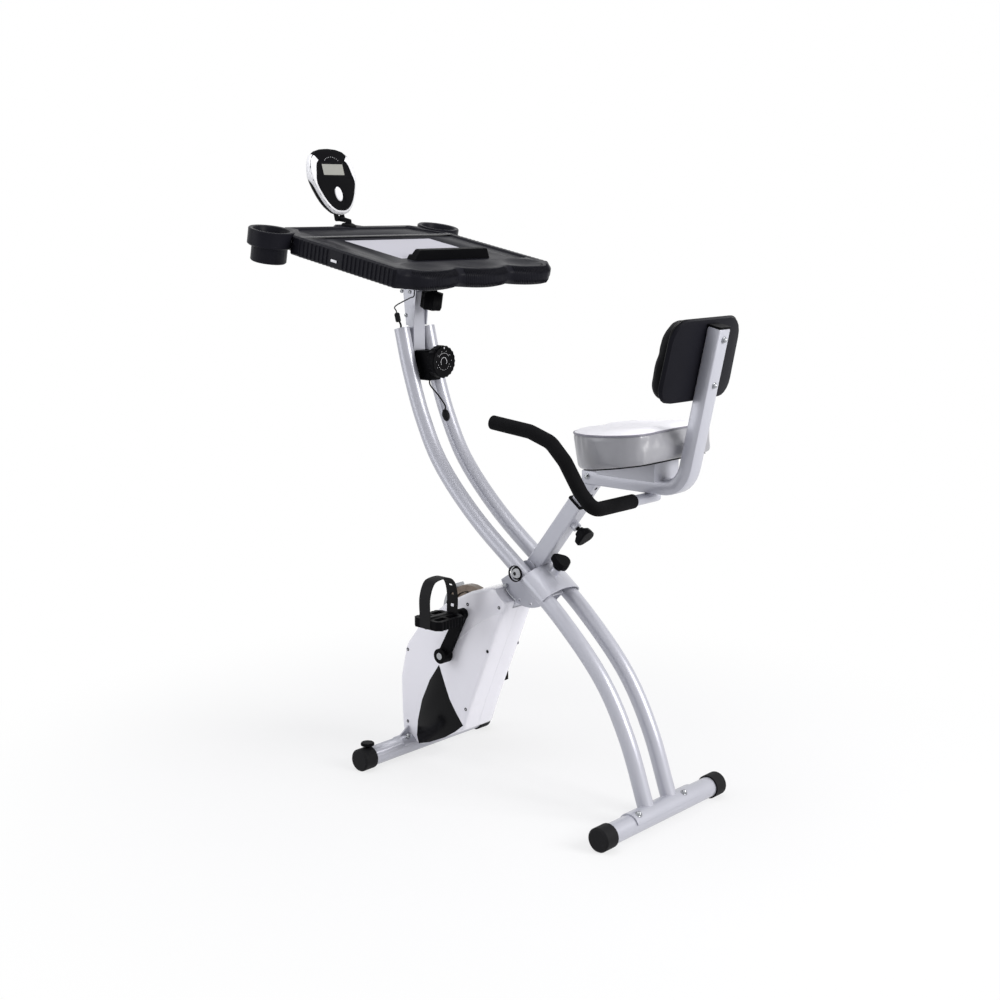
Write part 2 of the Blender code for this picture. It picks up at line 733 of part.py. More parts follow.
def build_lock_bracket(frame, pin_body, finishes):
    """Folded bracket with two sector plates, its cross plate, the pivot bolt and the lock pin."""
    half = bracket_half()
    hub = (PIVOT.x, PIVOT.z)
    down = -SEAT_TUBE_LEAN
    rear = [
        LEG @ Vector((CROSS_PLATE_END, 0, -BRACKET_WALL)),
        LEG @ Vector((CROSS_PLATE_END, 0, BRACKET_WALL / 2)),
        LEG @ Vector((CROSS_PLATE_START, 0, BRACKET_WALL)),
    ]
    outline = (
        arc(hub, SECTOR_RADIUS, SECTOR_START, SECTOR_END, 14)
        + [(point.x, point.z) for point in rear]
        + arc(hub, HUB_RADIUS, down + math.radians(60), down + math.radians(205), 8)
    )
    bracket = add_piece(
        "lock_bracket", side_plate(outline, -half, -half + BRACKET_WALL), finishes["frame_paint"], frame)
    join(bracket, side_plate(outline, half - BRACKET_WALL, half), frame)
    cross = block(
        (CROSS_PLATE_START, -half, -BRACKET_WALL / 2), (CROSS_PLATE_END, half, BRACKET_WALL / 2), LEG)
    join(bracket, cross, frame)
    cut(
        bracket,
        rod(PIVOT_BOLT_RADIUS + CLEARANCE, PIVOT - Y_AXIS * half * 1.2, PIVOT + Y_AXIS * half * 1.2, 12),
        frame)
    for angle in LOCK_HOLE_ANGLES:
        x, z = lock_hole(angle)
        reach = half * 1.2
        cut(bracket, rod(LOCK_PIN_RADIUS + CLEARANCE, (x, -reach, z), (x, reach, z), 10), frame)
    fold_hole = [LEG @ Vector((FOLD_PIN_PLACE, 0, height)) for height in (-0.01, 0.01)]
    cut(bracket, rod(FOLD_PIN_RADIUS + CLEARANCE, *fold_hole, 12), frame)

    outside = TUBE_PITCH / 2 + TUBE_RADIUS + CLEARANCE
    total = 2 * outside
    head, edge = PIVOT_HEAD_RADIUS, 0.002
    profile = [
        (0, -PIVOT_HEAD_THICKNESS - edge), (head * 0.55, -PIVOT_HEAD_THICKNESS - edge),
        (head * 0.7, -PIVOT_HEAD_THICKNESS), (head, -edge), (head, 0),
        (PIVOT_BOLT_RADIUS, 0), (PIVOT_BOLT_RADIUS, total), (head, total), (head, total + edge),
        (head * 0.6, total + edge), (
            head * 0.6, total + PIVOT_HEAD_THICKNESS), (0, total + PIVOT_HEAD_THICKNESS),
    ]
    add_piece(
        "pivot_bolt", turned(profile, aim(PIVOT - Y_AXIS * outside, Y_AXIS), 20), finishes["steel"],
        frame)

    x, z = lock_hole(LOCK_HOLE_ANGLES[0])
    start = Vector((x, -half - CLEARANCE, z))
    head = LOCK_PIN_HEAD_RADIUS
    pin_profile = [
        (0, -0.008), (head, -0.008), (head, 0), (LOCK_PIN_RADIUS, 0),
        (LOCK_PIN_RADIUS, 2 * half + 0.004), (0, 2 * half + 0.006),
    ]
    pin = add_piece("lock_pin", turned(pin_profile, aim(start, Y_AXIS), 16), finishes["steel"], pin_body)
    bail_radius = LOCK_HOLE_RADIUS + 0.002
    angles = [LOCK_HOLE_ANGLES[0] + math.radians(1.0 + 4.0 * step) for step in range(9)]
    course = [
        Vector((PIVOT.x + bail_radius * math.cos(a), start.y - 0.005, PIVOT.z + bail_radius * math.sin(a)))
        for a in angles
    ]
    join(pin, swept(course, 0.0013, 1), pin_body)


def knob_outline(radius, lobe, lobes, steps):
    """Round outline that swells into lobes."""
    result = []
    for step in range(steps):
        angle = math.tau * step / steps
        reach = radius + lobe * math.cos(lobes * angle)
        result.append((reach * math.cos(angle), reach * math.sin(angle)))
    return result


def pull_knob(name, start, direction, pin_length, pin_radius, body, finishes):
    """Lobed knob on a sprung pin: start is the pin's tip, direction the pull."""
    matrix = aim(start, direction) @ Matrix.Translation((0, 0, pin_length))
    levels = [(0.50, 0.0), (0.58, 0.005), (0.96, 0.013), (0.98, KNOB_DEPTH - 0.003), (0.86, KNOB_DEPTH)]
    knob = add_piece(
        name, ring_stack(knob_outline(KNOB_RADIUS, KNOB_LOBE, 3, 24), levels, matrix=matrix),
        finishes["black_plastic"], body)
    end = Vector(start) + Vector(direction).normalized() * (pin_length + 0.004)
    join(knob, rod(pin_radius, start, end, 16), body)
    return knob


def stop_arch(half_width, rise, steps):
    """Half an ellipse from one side over the top to the other."""
    angles = [math.pi * step / steps for step in range(steps + 1)]
    return [(half_width * math.cos(a), STOP_BASE + rise * math.sin(a)) for a in angles]


def build_seat_tube(body, seat_knob_body, fold_knob_body, finishes):
    """Square seat tube with its bush, the stop saddle and both pull knobs."""
    half = SEAT_TUBE_SIZE / 2
    bore = SEAT_TUBE_SIZE - 2 * SEAT_TUBE_WALL
    length = SEAT_TUBE_BELOW + SEAT_TUBE_ABOVE
    base = LEG @ Matrix.Translation((0, 0, -SEAT_TUBE_BELOW))
    tube = add_piece(
        "seat_tube", prism(square_outline(SEAT_TUBE_SIZE, 0.004), length, base),
        finishes["frame_paint"], body)
    inside = LEG @ Matrix.Translation((0, 0, -SEAT_TUBE_BELOW - 0.01))
    face = half
    join(tube, rod(BOSS_RADIUS, LEG @ Vector((face - 0.001, 0, SEAT_PIN_LEVEL)),
                   LEG @ Vector((face + BOSS_LENGTH, 0, SEAT_PIN_LEVEL)), 20), body)
    cut(tube, prism(square_outline(bore), length + 0.02, inside), body)
    cut(
        tube,
        rod(PIVOT_BOLT_RADIUS + CLEARANCE, PIVOT - Y_AXIS * half * 1.3, PIVOT + Y_AXIS * half * 1.3, 16),
        body)
    cut(tube, rod(SEAT_PIN_RADIUS + CLEARANCE, LEG @ Vector((face - 0.008, 0, SEAT_PIN_LEVEL)),
                  LEG @ Vector((face + BOSS_LENGTH + 0.01, 0, SEAT_PIN_LEVEL)), 16), body)

    sleeve = bore - 2 * CLEARANCE
    passage = POST_SIZE + 2 * CLEARANCE
    low = LEG @ Matrix.Translation((0, 0, SEAT_TUBE_ABOVE - BUSH_DEPTH))
    bush = add_piece(
        "tube_bush", prism(square_outline(sleeve), BUSH_DEPTH + BUSH_RIM / 2, low), finishes["black_plastic"], body)
    rim = LEG @ Matrix.Translation((0, 0, SEAT_TUBE_ABOVE + CLEARANCE))
    join(bush, prism(square_outline(SEAT_TUBE_SIZE + 0.002, 0.004), BUSH_RIM, rim), body)
    cut(
        bush,
        prism(square_outline(passage), BUSH_DEPTH + 0.03, low @ Matrix.Translation((0, 0, -0.01))), body)

    inner = [(half_width, height) for half_width, height in stop_arch(STOP_HALF_WIDTH, STOP_RISE, 14)]
    outer = stop_arch(STOP_HALF_WIDTH + STOP_WALL, STOP_RISE + STOP_WALL, 14)
    across = LEG @ Matrix.Translation((STOP_START, 0, 0)) @ Matrix(
        ((0, 0, 1, 0), (1, 0, 0, 0), (0, 1, 0, 0), (0, 0, 0, 1)))
    stop = add_piece(
        "stop_saddle", prism(outer + inner[::-1], STOP_LENGTH, across), finishes["frame_paint"], body)
    crown = STOP_BASE + STOP_RISE
    join(stop, rod(BOSS_RADIUS, LEG @ Vector((FOLD_PIN_PLACE, 0, crown + STOP_WALL / 2)),
                   LEG @ Vector((FOLD_PIN_PLACE, 0, crown + STOP_WALL + FOLD_BOSS_HEIGHT)), 20), body)
    cut(stop, rod(FOLD_PIN_RADIUS + CLEARANCE, LEG @ Vector((FOLD_PIN_PLACE, 0, crown - 0.01)),
                  LEG @ Vector((FOLD_PIN_PLACE, 0, crown + 0.04)), 16), body)

    turn = LEG.to_3x3()
    tip = LEG @ Vector((FOLD_PIN_PLACE, 0, BRACKET_WALL / 2 + CLEARANCE))
    reach = crown + STOP_WALL + FOLD_BOSS_HEIGHT + 0.001 - BRACKET_WALL / 2
    pull_knob("fold_knob", tip, turn @ Vector((0, 0, 1)), reach, FOLD_PIN_RADIUS, fold_knob_body, finishes)
    tip = LEG @ Vector((POST_SIZE / 2 + CLEARANCE, 0, SEAT_PIN_LEVEL))
    reach = half + BOSS_LENGTH + 0.008 - POST_SIZE / 2
    pull_knob("seat_knob", tip, turn @ Vector((1, 0, 0)), reach, SEAT_PIN_RADIUS, seat_knob_body, finishes)


def build_drive_frame(body, levellers, finishes):
    """Drive plates that carry the bearings between the seat tube and the front foot."""
    inner = SEAT_TUBE_SIZE / 2 + RUNNING_GAP
    outer = inner + DRIVE_PLATE_WALL
    outline = ahead_outline(rounded((
        (0.445, 0.432), (0.463, 0.462), (0.560, 0.424), (0.620, 0.391), (0.656, 0.376), (0.667, 0.363),
        (0.660, 0.335), (0.655, 0.300), (FOOT_SPACING + 0.019, 0.066), (FOOT_SPACING - 0.019, 0.060),
        (0.560, 0.262), (0.485, 0.400),
    ), 0.008, 2))
    bracket = add_piece("drive_bracket", side_plate(outline, -outer, -inner), finishes["frame_paint"], body)
    join(bracket, side_plate(outline, inner, outer), body)
    join(
        bracket,
        rod(BEARING_SHELL_RADIUS, *[CRANK + Y_AXIS * s * BEARING_SHELL_HALF for s in (-1, 1)], 22), body)
    reach = Y_AXIS * (BEARING_SHELL_HALF + 0.01)
    cut(bracket, rod(AXLE_RADIUS + CLEARANCE, CRANK - reach, CRANK + reach, 20), body)
    cut(bracket, rod(FLYWHEEL_AXLE_RADIUS + CLEARANCE, FLYWHEEL - reach, FLYWHEEL + reach, 16), body)

    gap = inner - CLEARANCE
    saddle = saddle_shell(FRONT_FOOT, FRONT_SADDLE_LENGTH, math.radians(12), FOOT_RADIUS - 0.0008)
    tube = foot("front", FRONT_FOOT, body, finishes, saddle, levellers)
    top = FRONT_FOOT + Vector((0, 0, FOOT_RADIUS))
    join(tube, block(top + Vector((-0.017, -gap, -0.001)), top + Vector((0.017, gap, 0.040))), body)
    for sign in (-1, 1):
        outside = COVER_HALF + 0.002
        outline = [(outside, 0), (FRONT_SADDLE_LENGTH / 2 - 0.004, 0), (outside, 0.022)]
        across = Matrix.Translation(top + Vector((-0.002, 0, 0.001))) @ Matrix(
            ((0, 0, 1, 0), (sign, 0, 0, 0), (0, 1, 0, 0), (0, 0, 0, 1)))
        join(tube, prism(outline, 0.004, across), body)


def cover_outline():
    """Outline of the covers as X and Z, seen from the left."""
    corners = (
        (0.426, 0.478), (0.467, 0.479), (0.532, 0.459), (0.612, 0.418), (0.700, 0.352),
        (0.752, 0.285), (0.772, 0.200), (0.770, 0.110), (0.766, 0.056), (0.709, 0.029),
        (0.557, 0.101), (0.534, 0.166), (0.468, 0.326), (0.420, 0.446),
    )
    radii = (0, 0.03, 0.06, 0.08, 0.08, 0.06, 0.06, 0.04, 0.014, 0.02, 0.016, 0.10, 0.10, 0)
    return ahead_outline(rounded(corners, radii, 2))


def build_covers(body, finishes):
    """Two cover shells that meet at the middle and leave the flywheel's top bare."""
    outline = cover_outline()
    hollow = inset(outline, COVER_WALL)
    slot = FLYWHEEL_WIDTH / 2 + 0.012
    for side, sign in on_both_sides():
        seam, face = sign * CLEARANCE / 2, sign * COVER_HALF
        low, high = sorted((seam, face))
        cover = add_piece(side + "_cover", side_plate(outline, low, high), finishes["cover_gloss"], body)
        rim = cover.data
        weights = rim.attributes.new("bevel_weight_edge", "FLOAT", "EDGE")
        for edge in rim.edges:
            ends = [rim.vertices[index].co.y + body.origin.y for index in edge.vertices]
            weights.data[edge.index].value = 1.0 if all(abs(end - face) < 0.0001 for end in ends) else 0.0
        bevel = cover.modifiers.new("Edge", "BEVEL")
        bevel.limit_method = "WEIGHT"
        bevel.width = COVER_EDGE
        bevel.segments = 3
        low, high = sorted((-sign * 0.01, face - sign * COVER_WALL))
        cut(cover, side_plate(hollow, low, high), body)
        far = Y_AXIS * sign * (COVER_HALF + 0.02)
        near = Y_AXIS * sign * -0.02
        cut(cover, rod(AXLE_RADIUS + 0.005, CRANK + near, CRANK + far, 24), body)
        cut(cover, rod(COVER_PIVOT_CUT, PIVOT + near, PIVOT + far, 40), body)
        cut(
            cover,
            rod(FOOT_RADIUS + 2 * CLEARANCE + SADDLE_WALL, FRONT_FOOT + near, FRONT_FOOT + far, 24),
            body)
        opening = FLYWHEEL_RADIUS + MAGNET_GAP + MAGNET_THICKNESS + 0.005
        cut(cover, rod(opening, FLYWHEEL + near, FLYWHEEL + Y_AXIS * sign * slot, 32), body)
        cut(cover, block(
            FRONT_FOOT + Vector((-0.018, -SEAT_TUBE_SIZE / 2 - 0.001, 0)),
            FRONT_FOOT + Vector((0.018, SEAT_TUBE_SIZE / 2 + 0.001, FOOT_RADIUS + 0.041))), body)
        clear = SEAT_TUBE_SIZE / 2 + 0.001
        cut(cover, block((-clear, -clear, -SEAT_TUBE_BELOW - 0.002), (clear, clear, -0.05), LEG), body)


def belt_outline(small, large, gap, thickness):
    """Closed belt round two pulleys as an outer loop and an inner loop of X and Z."""
    start, end = Vector((FLYWHEEL.x, FLYWHEEL.z)), Vector((CRANK.x, CRANK.z))
    along = end - start
    heading = math.atan2(along.y, along.x)
    loops = []
    for extra in (gap + thickness, gap):
        first, second = small + extra, large + extra
        lean = math.acos((first - second) / along.length)
        loops.append(
            arc(start, first, heading + lean, heading + math.tau - lean, 8)
            + arc(end, second, heading - lean, heading + lean, 24))
    return loops


def build_drive(body, crank_body, wheel_body, magnet_body, finishes):
    """Crank axle with its pulley, crank arms, flywheel, belt and magnet arm."""
    outer = PULLEY_INNER + PULLEY_WIDTH
    rim = DRIVE_PULLEY_RADIUS
    lip = 0.0015
    belt_low = PULLEY_INNER + (PULLEY_WIDTH - BELT_WIDTH) / 2
    profile = [
        (0, -AXLE_HALF), (AXLE_RADIUS, -AXLE_HALF), (AXLE_RADIUS, PULLEY_INNER), (rim + lip, PULLEY_INNER),
        (rim + lip, belt_low - CLEARANCE), (rim, belt_low - CLEARANCE),
        (rim, belt_low + BELT_WIDTH + CLEARANCE), (rim + lip, belt_low + BELT_WIDTH + CLEARANCE),
        (rim + lip, outer), (rim - 0.010, outer), (rim - 0.012, outer - 0.008), (0.022, outer - 0.008),
        (0.020, outer), (AXLE_RADIUS, outer), (AXLE_RADIUS, AXLE_HALF), (0, AXLE_HALF),
    ]
    add_piece("crank_axle", turned(profile, aim(CRANK, Y_AXIS), 24), finishes["steel"], crank_body)

    half = FLYWHEEL_WIDTH / 2
    wheel = FLYWHEEL_RADIUS
    small = SMALL_PULLEY_RADIUS
    axle = FLYWHEEL_AXLE_RADIUS
    profile = [
        (0, -PULLEY_INNER), (axle, -PULLEY_INNER), (axle, -half + 0.002), (0.020, -half + 0.005),
        (wheel - 0.018, -half + 0.005), (wheel - 0.016, -half), (wheel - 0.001, -half), (wheel, -half + 0.001),
        (wheel, half - 0.001), (wheel - 0.001, half), (wheel - 0.016, half), (wheel - 0.018, half - 0.005),
        (0.020, half - 0.005), (axle, half - 0.002), (axle, PULLEY_INNER), (small + lip, PULLEY_INNER),
        (small + lip, belt_low - CLEARANCE), (small, belt_low - CLEARANCE),
        (small, belt_low + BELT_WIDTH + CLEARANCE), (small + lip, belt_low + BELT_WIDTH + CLEARANCE),
        (small + lip, outer), (0, outer),
    ]
    add_piece("flywheel", turned(profile, aim(FLYWHEEL, Y_AXIS), 26), finishes["steel"], wheel_body)

    gap = 2 * CLEARANCE
    outer_loop, inner_loop = belt_outline(small, rim, gap, BELT_THICKNESS)
    belt = add_piece(
        "drive_belt", side_plate(outer_loop, belt_low, belt_low + BELT_WIDTH), finishes["rubber"], body)
    cut(belt, side_plate(inner_loop, belt_low - 0.005, belt_low + BELT_WIDTH + 0.005), body)

    hub = (FLYWHEEL.x, FLYWHEEL.z)
    course = arc(hub, wheel + MAGNET_GAP + MAGNET_THICKNESS / 2, math.radians(196), math.radians(120), 12)
    magnet = side_plate(band(course, MAGNET_THICKNESS), -half - 0.003, half + 0.003)
    arm = add_piece("magnet_arm", magnet, finishes["steel"], magnet_body)
    end = magnet_pivot()
    reach = Y_AXIS * (SEAT_TUBE_SIZE / 2 + RUNNING_GAP - CLEARANCE)
    join(arm, rod(0.007, end - reach, end + reach, 16), magnet_body)


def magnet_pivot():
    """Hinge of the magnet arm, in front of the flywheel."""
    angle = math.radians(194)
    reach = FLYWHEEL_RADIUS + MAGNET_GAP + MAGNET_THICKNESS / 2 + 0.002
    return FLYWHEEL + Vector((reach * math.cos(angle), 0, reach * math.sin(angle)))


def crank_end(sign):
    """Middle of a crank arm's far end; the left arm points up and back."""
    angle = CRANK_ANGLE if sign < 0 else CRANK_ANGLE + math.pi
    return CRANK + Vector((math.cos(angle), 0, math.sin(angle))) * CRANK_LENGTH


def build_crank_arm(side, sign, body, finishes):
    """Tapered crank arm with a hub boss and the pedal's spindle."""
    end = crank_end(sign)
    heading = math.atan2(end.z - CRANK.z, end.x - CRANK.x)
    hub, tip = (CRANK.x, CRANK.z), (end.x, end.z)
    outline = (
        arc(hub, ARM_HUB_RADIUS * 0.82, heading + math.radians(80), heading + math.radians(280), 10)
        + arc(tip, ARM_END_RADIUS * 0.9, heading - math.radians(90), heading + math.radians(90), 8)
    )
    low, high = sorted((sign * ARM_INNER, sign * (ARM_INNER + ARM_THICKNESS)))
    arm = add_piece(side + "_crank_arm", side_plate(outline, low, high), finishes["black_plastic"], body)
    out = Y_AXIS * sign
    boss_end = ARM_INNER + ARM_THICKNESS + ARM_BOSS
    join(arm, rod(ARM_HUB_RADIUS, CRANK + out * (ARM_INNER - 0.004), CRANK + out * boss_end, 24), body)
    join(
        arm,
        rod(ARM_END_RADIUS, end + out * ARM_INNER, end + out * (ARM_INNER + ARM_THICKNESS + 0.003), 20),
        body)
    spindle_end = PEDAL_CENTRE + PEDAL_LENGTH / 2 - 0.012
    join(arm, rod(SPINDLE_RADIUS, end + out * (ARM_INNER + 0.002), end + out * spindle_end, 16), body)
    cut(
        arm,
        rod(
            AXLE_RADIUS + CLEARANCE, CRANK + out * (ARM_INNER - 0.01),
            CRANK + out * (AXLE_HALF + CLEARANCE), 20),
        body)


def build_pedal(side, sign, body, finishes):
    """Resin pedal with serrated edges and a foot strap over it."""
    centre = crank_end(sign) + Y_AXIS * sign * PEDAL_CENTRE
    half_x, half_y = PEDAL_DEPTH / 2, PEDAL_LENGTH / 2
    teeth, bite = 7, 0.004
    edge = []
    for tooth in range(teeth):
        step = 2 * (half_y - 0.010) / teeth
        low = -half_y + 0.010 + tooth * step
        edge += [(half_x, low), (half_x, low + step * 0.55), (half_x - bite, low + step * 0.75)]
    tail = [(half_x, half_y - 0.010), (half_x - 0.012, half_y)]
    right = [(half_x - 0.012, -half_y)] + edge + tail
    outline = right + [(-x, -y) for x, y in right]
    flat = Matrix.Translation(centre - Vector((0, 0, PEDAL_THICKNESS / 2)))
    pedal = add_piece(
        side + "_pedal", prism(outline, PEDAL_THICKNESS, flat), finishes["black_plastic"], body)
    window = 0.020
    for direction in (-1, 1):
        low_x, high_x = sorted((direction * 0.015, direction * (half_x - 0.012)))
        for low_y in (-half_y + 0.010, 0.004):
            high_y = low_y + half_y - 0.014
            cut(
                pedal,
                block(centre + Vector((low_x, low_y, -window)), centre + Vector((high_x, high_y, window))),
                body)
    ends = [centre + Y_AXIS * s * (half_y - 0.001) for s in (-1, 1)]
    join(pedal, rod(PEDAL_BARREL_RADIUS, *ends, 20), body)
    out = Y_AXIS * sign
    bore = [centre - out * (half_y + 0.01), centre + out * (half_y - 0.010)]
    cut(pedal, rod(SPINDLE_RADIUS + CLEARANCE, *bore, 16), body)

    side_gap = half_y + CLEARANCE + STRAP_THICKNESS / 2
    points = (
        (side_gap, -0.010), (side_gap, 0.014), (side_gap + 0.001, 0.060), (side_gap - 0.010, 0.092),
        (0.020, STRAP_RISE), (-0.018, STRAP_RISE), (-side_gap + 0.008, 0.088), (-side_gap - 0.001, 0.055),
        (-side_gap, 0.014), (-side_gap, SPINDLE_RADIUS + 0.0015),
    )
    course = smooth_course([Vector((sign * side, height)) for side, height in points], 2)
    across = Matrix.Translation(centre - Vector((STRAP_WIDTH / 2, 0, 0))) @ Matrix(
        ((0, 0, 1, 0), (1, 0, 0, 0), (0, 1, 0, 0), (0, 0, 0, 1)))
    add_piece(
        side + "_pedal_strap", prism(band(course, STRAP_THICKNESS), STRAP_WIDTH, across),
        finishes["rubber"], body)


def bracket_course():
    """Side view of the seat bracket's centreline, as X and Z."""
    corner = Vector((REAR_FOOT_X - ARM_CORNER_AHEAD, ARM_HEIGHT))
    rise = BACK_POST_TOP - ARM_HEIGHT
    top = corner + Vector((math.tan(BACK_LEAN) * rise, rise))
    front = Vector((REAR_FOOT_X - ARM_FRONT_AHEAD, ARM_HEIGHT))
    return front, corner, top


def seat_plan():
    """Seat seen from above about its own middle, X to the rear: a broad seat with a rounded nose."""
    front, rear, half = SEAT_FRONT, SEAT_REAR, SEAT_HALF_WIDTH
    right = [
        (-front, 0.045), (-front * 0.90, half * 0.50), (-front * 0.66, half * 0.72), (-front * 0.30, half * 0.90),
        (front * 0.12, half), (rear * 0.55, half * 0.985), (rear * 0.88, half * 0.86), (rear, half * 0.60),
    ]
    points = [(x, -y) for x, y in right] + [(x, y) for x, y in reversed(right)]
    closed = smooth_course([Vector(p) for p in points + [points[0]]], 2)[:-1]
    return [tuple(point) for point in closed]


def seat_warp(point):
    """Crown of the seat: nearly level on its sloping base, high at both sides, low along the middle."""
    level = point.z - SEAT_WEDGE * point.x * min(1.0, point.z / SEAT_THICKNESS)
    if point.z < SEAT_THICKNESS * 0.9:
        return Vector((point.x, point.y, level))
    lift = point.z - SEAT_THICKNESS
    groove = SEAT_GROOVE * math.exp(-(point.y / 0.022) ** 2) * (1 if lift > 0.003 else 0)
    dish = 0.006 * math.exp(-((point.x - 0.005) / 0.05) ** 2) if lift > 0.010 else 0
    return Vector((point.x, point.y, level - groove - dish))


def back_matrix():
    """Frame on the back post's front face: X across to the right, Y up the post, Z to the front."""
    corner = bracket_course()[1]
    rise = BACK_CENTRE_HEIGHT - ARM_HEIGHT
    x = corner.x + math.tan(BACK_LEAN) * rise - ARM_DEPTH / 2 / math.cos(BACK_LEAN)
    lean = Matrix.Rotation(BACK_LEAN, 4, "Y")
    axes = Matrix(((0, 0, -1, 0), (-1, 0, 0, 0), (0, 1, 0, 0), (0, 0, 0, 1)))
    return Matrix.Translation((x, 0, BACK_CENTRE_HEIGHT)) @ lean @ axes


def back_bow(point):
    """Bend the backrest forward towards its sides."""
    return Vector((point.x, point.y, point.z + BACK_BOW * (point.x / BACK_HALF_WIDTH) ** 2))


def back_pad_warp(point):
    """Backrest pad, thicker across its lower half."""
    depth = point.z - BACK_SHELL_THICKNESS - 2 * CLEARANCE
    share = max(0.0, min(1.0, depth / BACK_PAD_THICKNESS))
    lumbar = BACK_LUMBAR * share * math.exp(-((point.y + BACK_HALF_HEIGHT * 0.45) / 0.045) ** 2)
    return back_bow(Vector((point.x, point.y, point.z + lumbar)))


def build_seat(body, finishes):
    """Seat post, bent bracket, cushion, backrest and handle."""
    front, corner, top = bracket_course()
    underside = ARM_HEIGHT - ARM_DEPTH / 2
    bottom = SEAT_TUBE_ABOVE - POST_INSERT
    length = 0.30
    post_shape = prism(square_outline(POST_SIZE, 0.003), length, LEG @ Matrix.Translation((0, 0, bottom)))
    bmesh.ops.bisect_plane(
        post_shape, geom=post_shape.verts[:] + post_shape.edges[:] + post_shape.faces[:], dist=0.000001,
        plane_co=(0, 0, underside - CLEARANCE), plane_no=(0, 0, 1), clear_outer=True)
    bmesh.ops.holes_fill(post_shape, edges=[edge for edge in post_shape.edges if edge.is_boundary])
    post = add_piece("seat_post", post_shape, finishes["frame_paint"], body)
    hollow = POST_SIZE - 2 * POST_WALL
    cavity = LEG @ Matrix.Translation((0, 0, bottom - 0.01))
    cut(post, prism(square_outline(hollow), SEAT_TUBE_ABOVE + 0.012 - bottom, cavity), body)

    course = bent_course([front, corner, top], ARM_BEND, 8)
    bracket = add_piece(
        "seat_bracket", side_plate(band(course, ARM_DEPTH), -ARM_WIDTH / 2, ARM_WIDTH / 2), finishes["frame_paint"], body)
    soften(bracket, 0.004, 2)
    beyond = [
        front + (front - corner).normalized() * 0.01] + course[1:-1] + [top + (top - corner).normalized() * 0.01]
    half = ARM_WIDTH / 2 - ARM_WALL
    cut(bracket, side_plate(band(beyond, ARM_DEPTH - 2 * ARM_WALL), -half, half), body)

    seat_frame = Matrix.Translation(
        place(SEAT_AHEAD, 0, SEAT_BASE_HEIGHT)) @ Matrix.Rotation(-SEAT_TILT, 4, "Y")
    upper = ARM_HEIGHT + ARM_DEPTH / 2
    corners = [seat_frame @ Vector((x, 0, -CLEARANCE)) for x in (-0.080, 0.080)]
    wedge = [
        (corners[0].x, upper - 0.0014), (corners[1].x, upper - 0.0014)] + [(p.x, p.z) for p in reversed(corners)]
    join(bracket, side_plate(wedge, -SEAT_MOUNT_HALF, SEAT_MOUNT_HALF), body)

    rise = SEAT_THICKNESS
    levels = [
        (0.90, 0.0), (0.955, 0.004), (0.965, rise * 0.45), (0.975, rise * 0.80), (0.995, rise - 0.004), (1.0, rise),
        (0.975, rise + 0.006), (0.90, rise + SEAT_CROWN * 0.68), (0.76, rise + SEAT_CROWN * 0.90),
        (0.52, rise + SEAT_CROWN), (0.26, rise + SEAT_CROWN),
    ]
    add_piece(
        "seat_cushion", ring_stack(seat_plan(), levels, seat_warp, seat_frame),
        finishes["seat_leather"], body, 60)

    back = back_matrix()
    w, h = BACK_HALF_WIDTH, BACK_HALF_HEIGHT
    plan = rounded([(-w, -h), (w, -h), (w * 0.96, h), (-w * 0.96, h)], [0.036, 0.036, 0.050, 0.050], 5)
    dense = []
    for start, end in zip(plan, plan[1:] + plan[:1]):
        span = math.dist(start, end)
        pieces = max(1, round(span / 0.035))
        dense += [tuple(Vector(start).lerp(Vector(end), piece / pieces)) for piece in range(pieces)]
    t = BACK_SHELL_THICKNESS
    shell_levels = [(0.40, CLEARANCE), (0.80, CLEARANCE), (0.98, 0.003), (1.0, t), (0.8, t), (0.4, t)]
    add_piece(
        "backrest_shell", ring_stack(dense, shell_levels, back_bow, back), finishes["black_plastic"],
        body, 60)
    base, p = t + 2 * CLEARANCE, BACK_PAD_THICKNESS
    pad_levels = [
        (0.3, base), (0.7, base), (0.955, base), (0.985, base + 0.004), (0.99, base + p * 0.45), (0.95, base + p * 0.82),
        (0.84, base + p * 0.97), (0.62, base + p), (0.30, base + p * 0.98),
    ]
    add_piece(
        "backrest_pad", ring_stack(dense, pad_levels, back_pad_warp, back), finishes["back_leather"],
        body, 60)

    along = (top - corner).normalized()
    up = Vector((along.x, 0, along.y))
    axes = Matrix.Rotation(BACK_LEAN, 4, "Y")
    cap_at = Matrix.Translation(Vector((top.x, 0, top.y)) + up * CLEARANCE) @ axes
    outline = rounded([
        (-ARM_DEPTH / 2, -ARM_WIDTH / 2), (ARM_DEPTH / 2, -ARM_WIDTH / 2),
        (ARM_DEPTH / 2, ARM_WIDTH / 2), (-ARM_DEPTH / 2, ARM_WIDTH / 2)], 0.004, 3)
    cap = add_piece("post_cap", prism(outline, POST_CAP_THICKNESS, cap_at), finishes["black_plastic"], body)
    d, w = ARM_DEPTH / 2 - ARM_WALL - CLEARANCE, ARM_WIDTH / 2 - ARM_WALL - CLEARANCE
    join(cap, block((-d, -w, -0.012), (d, w, 0.001), cap_at), body)
    build_handle(body, finishes, underside)


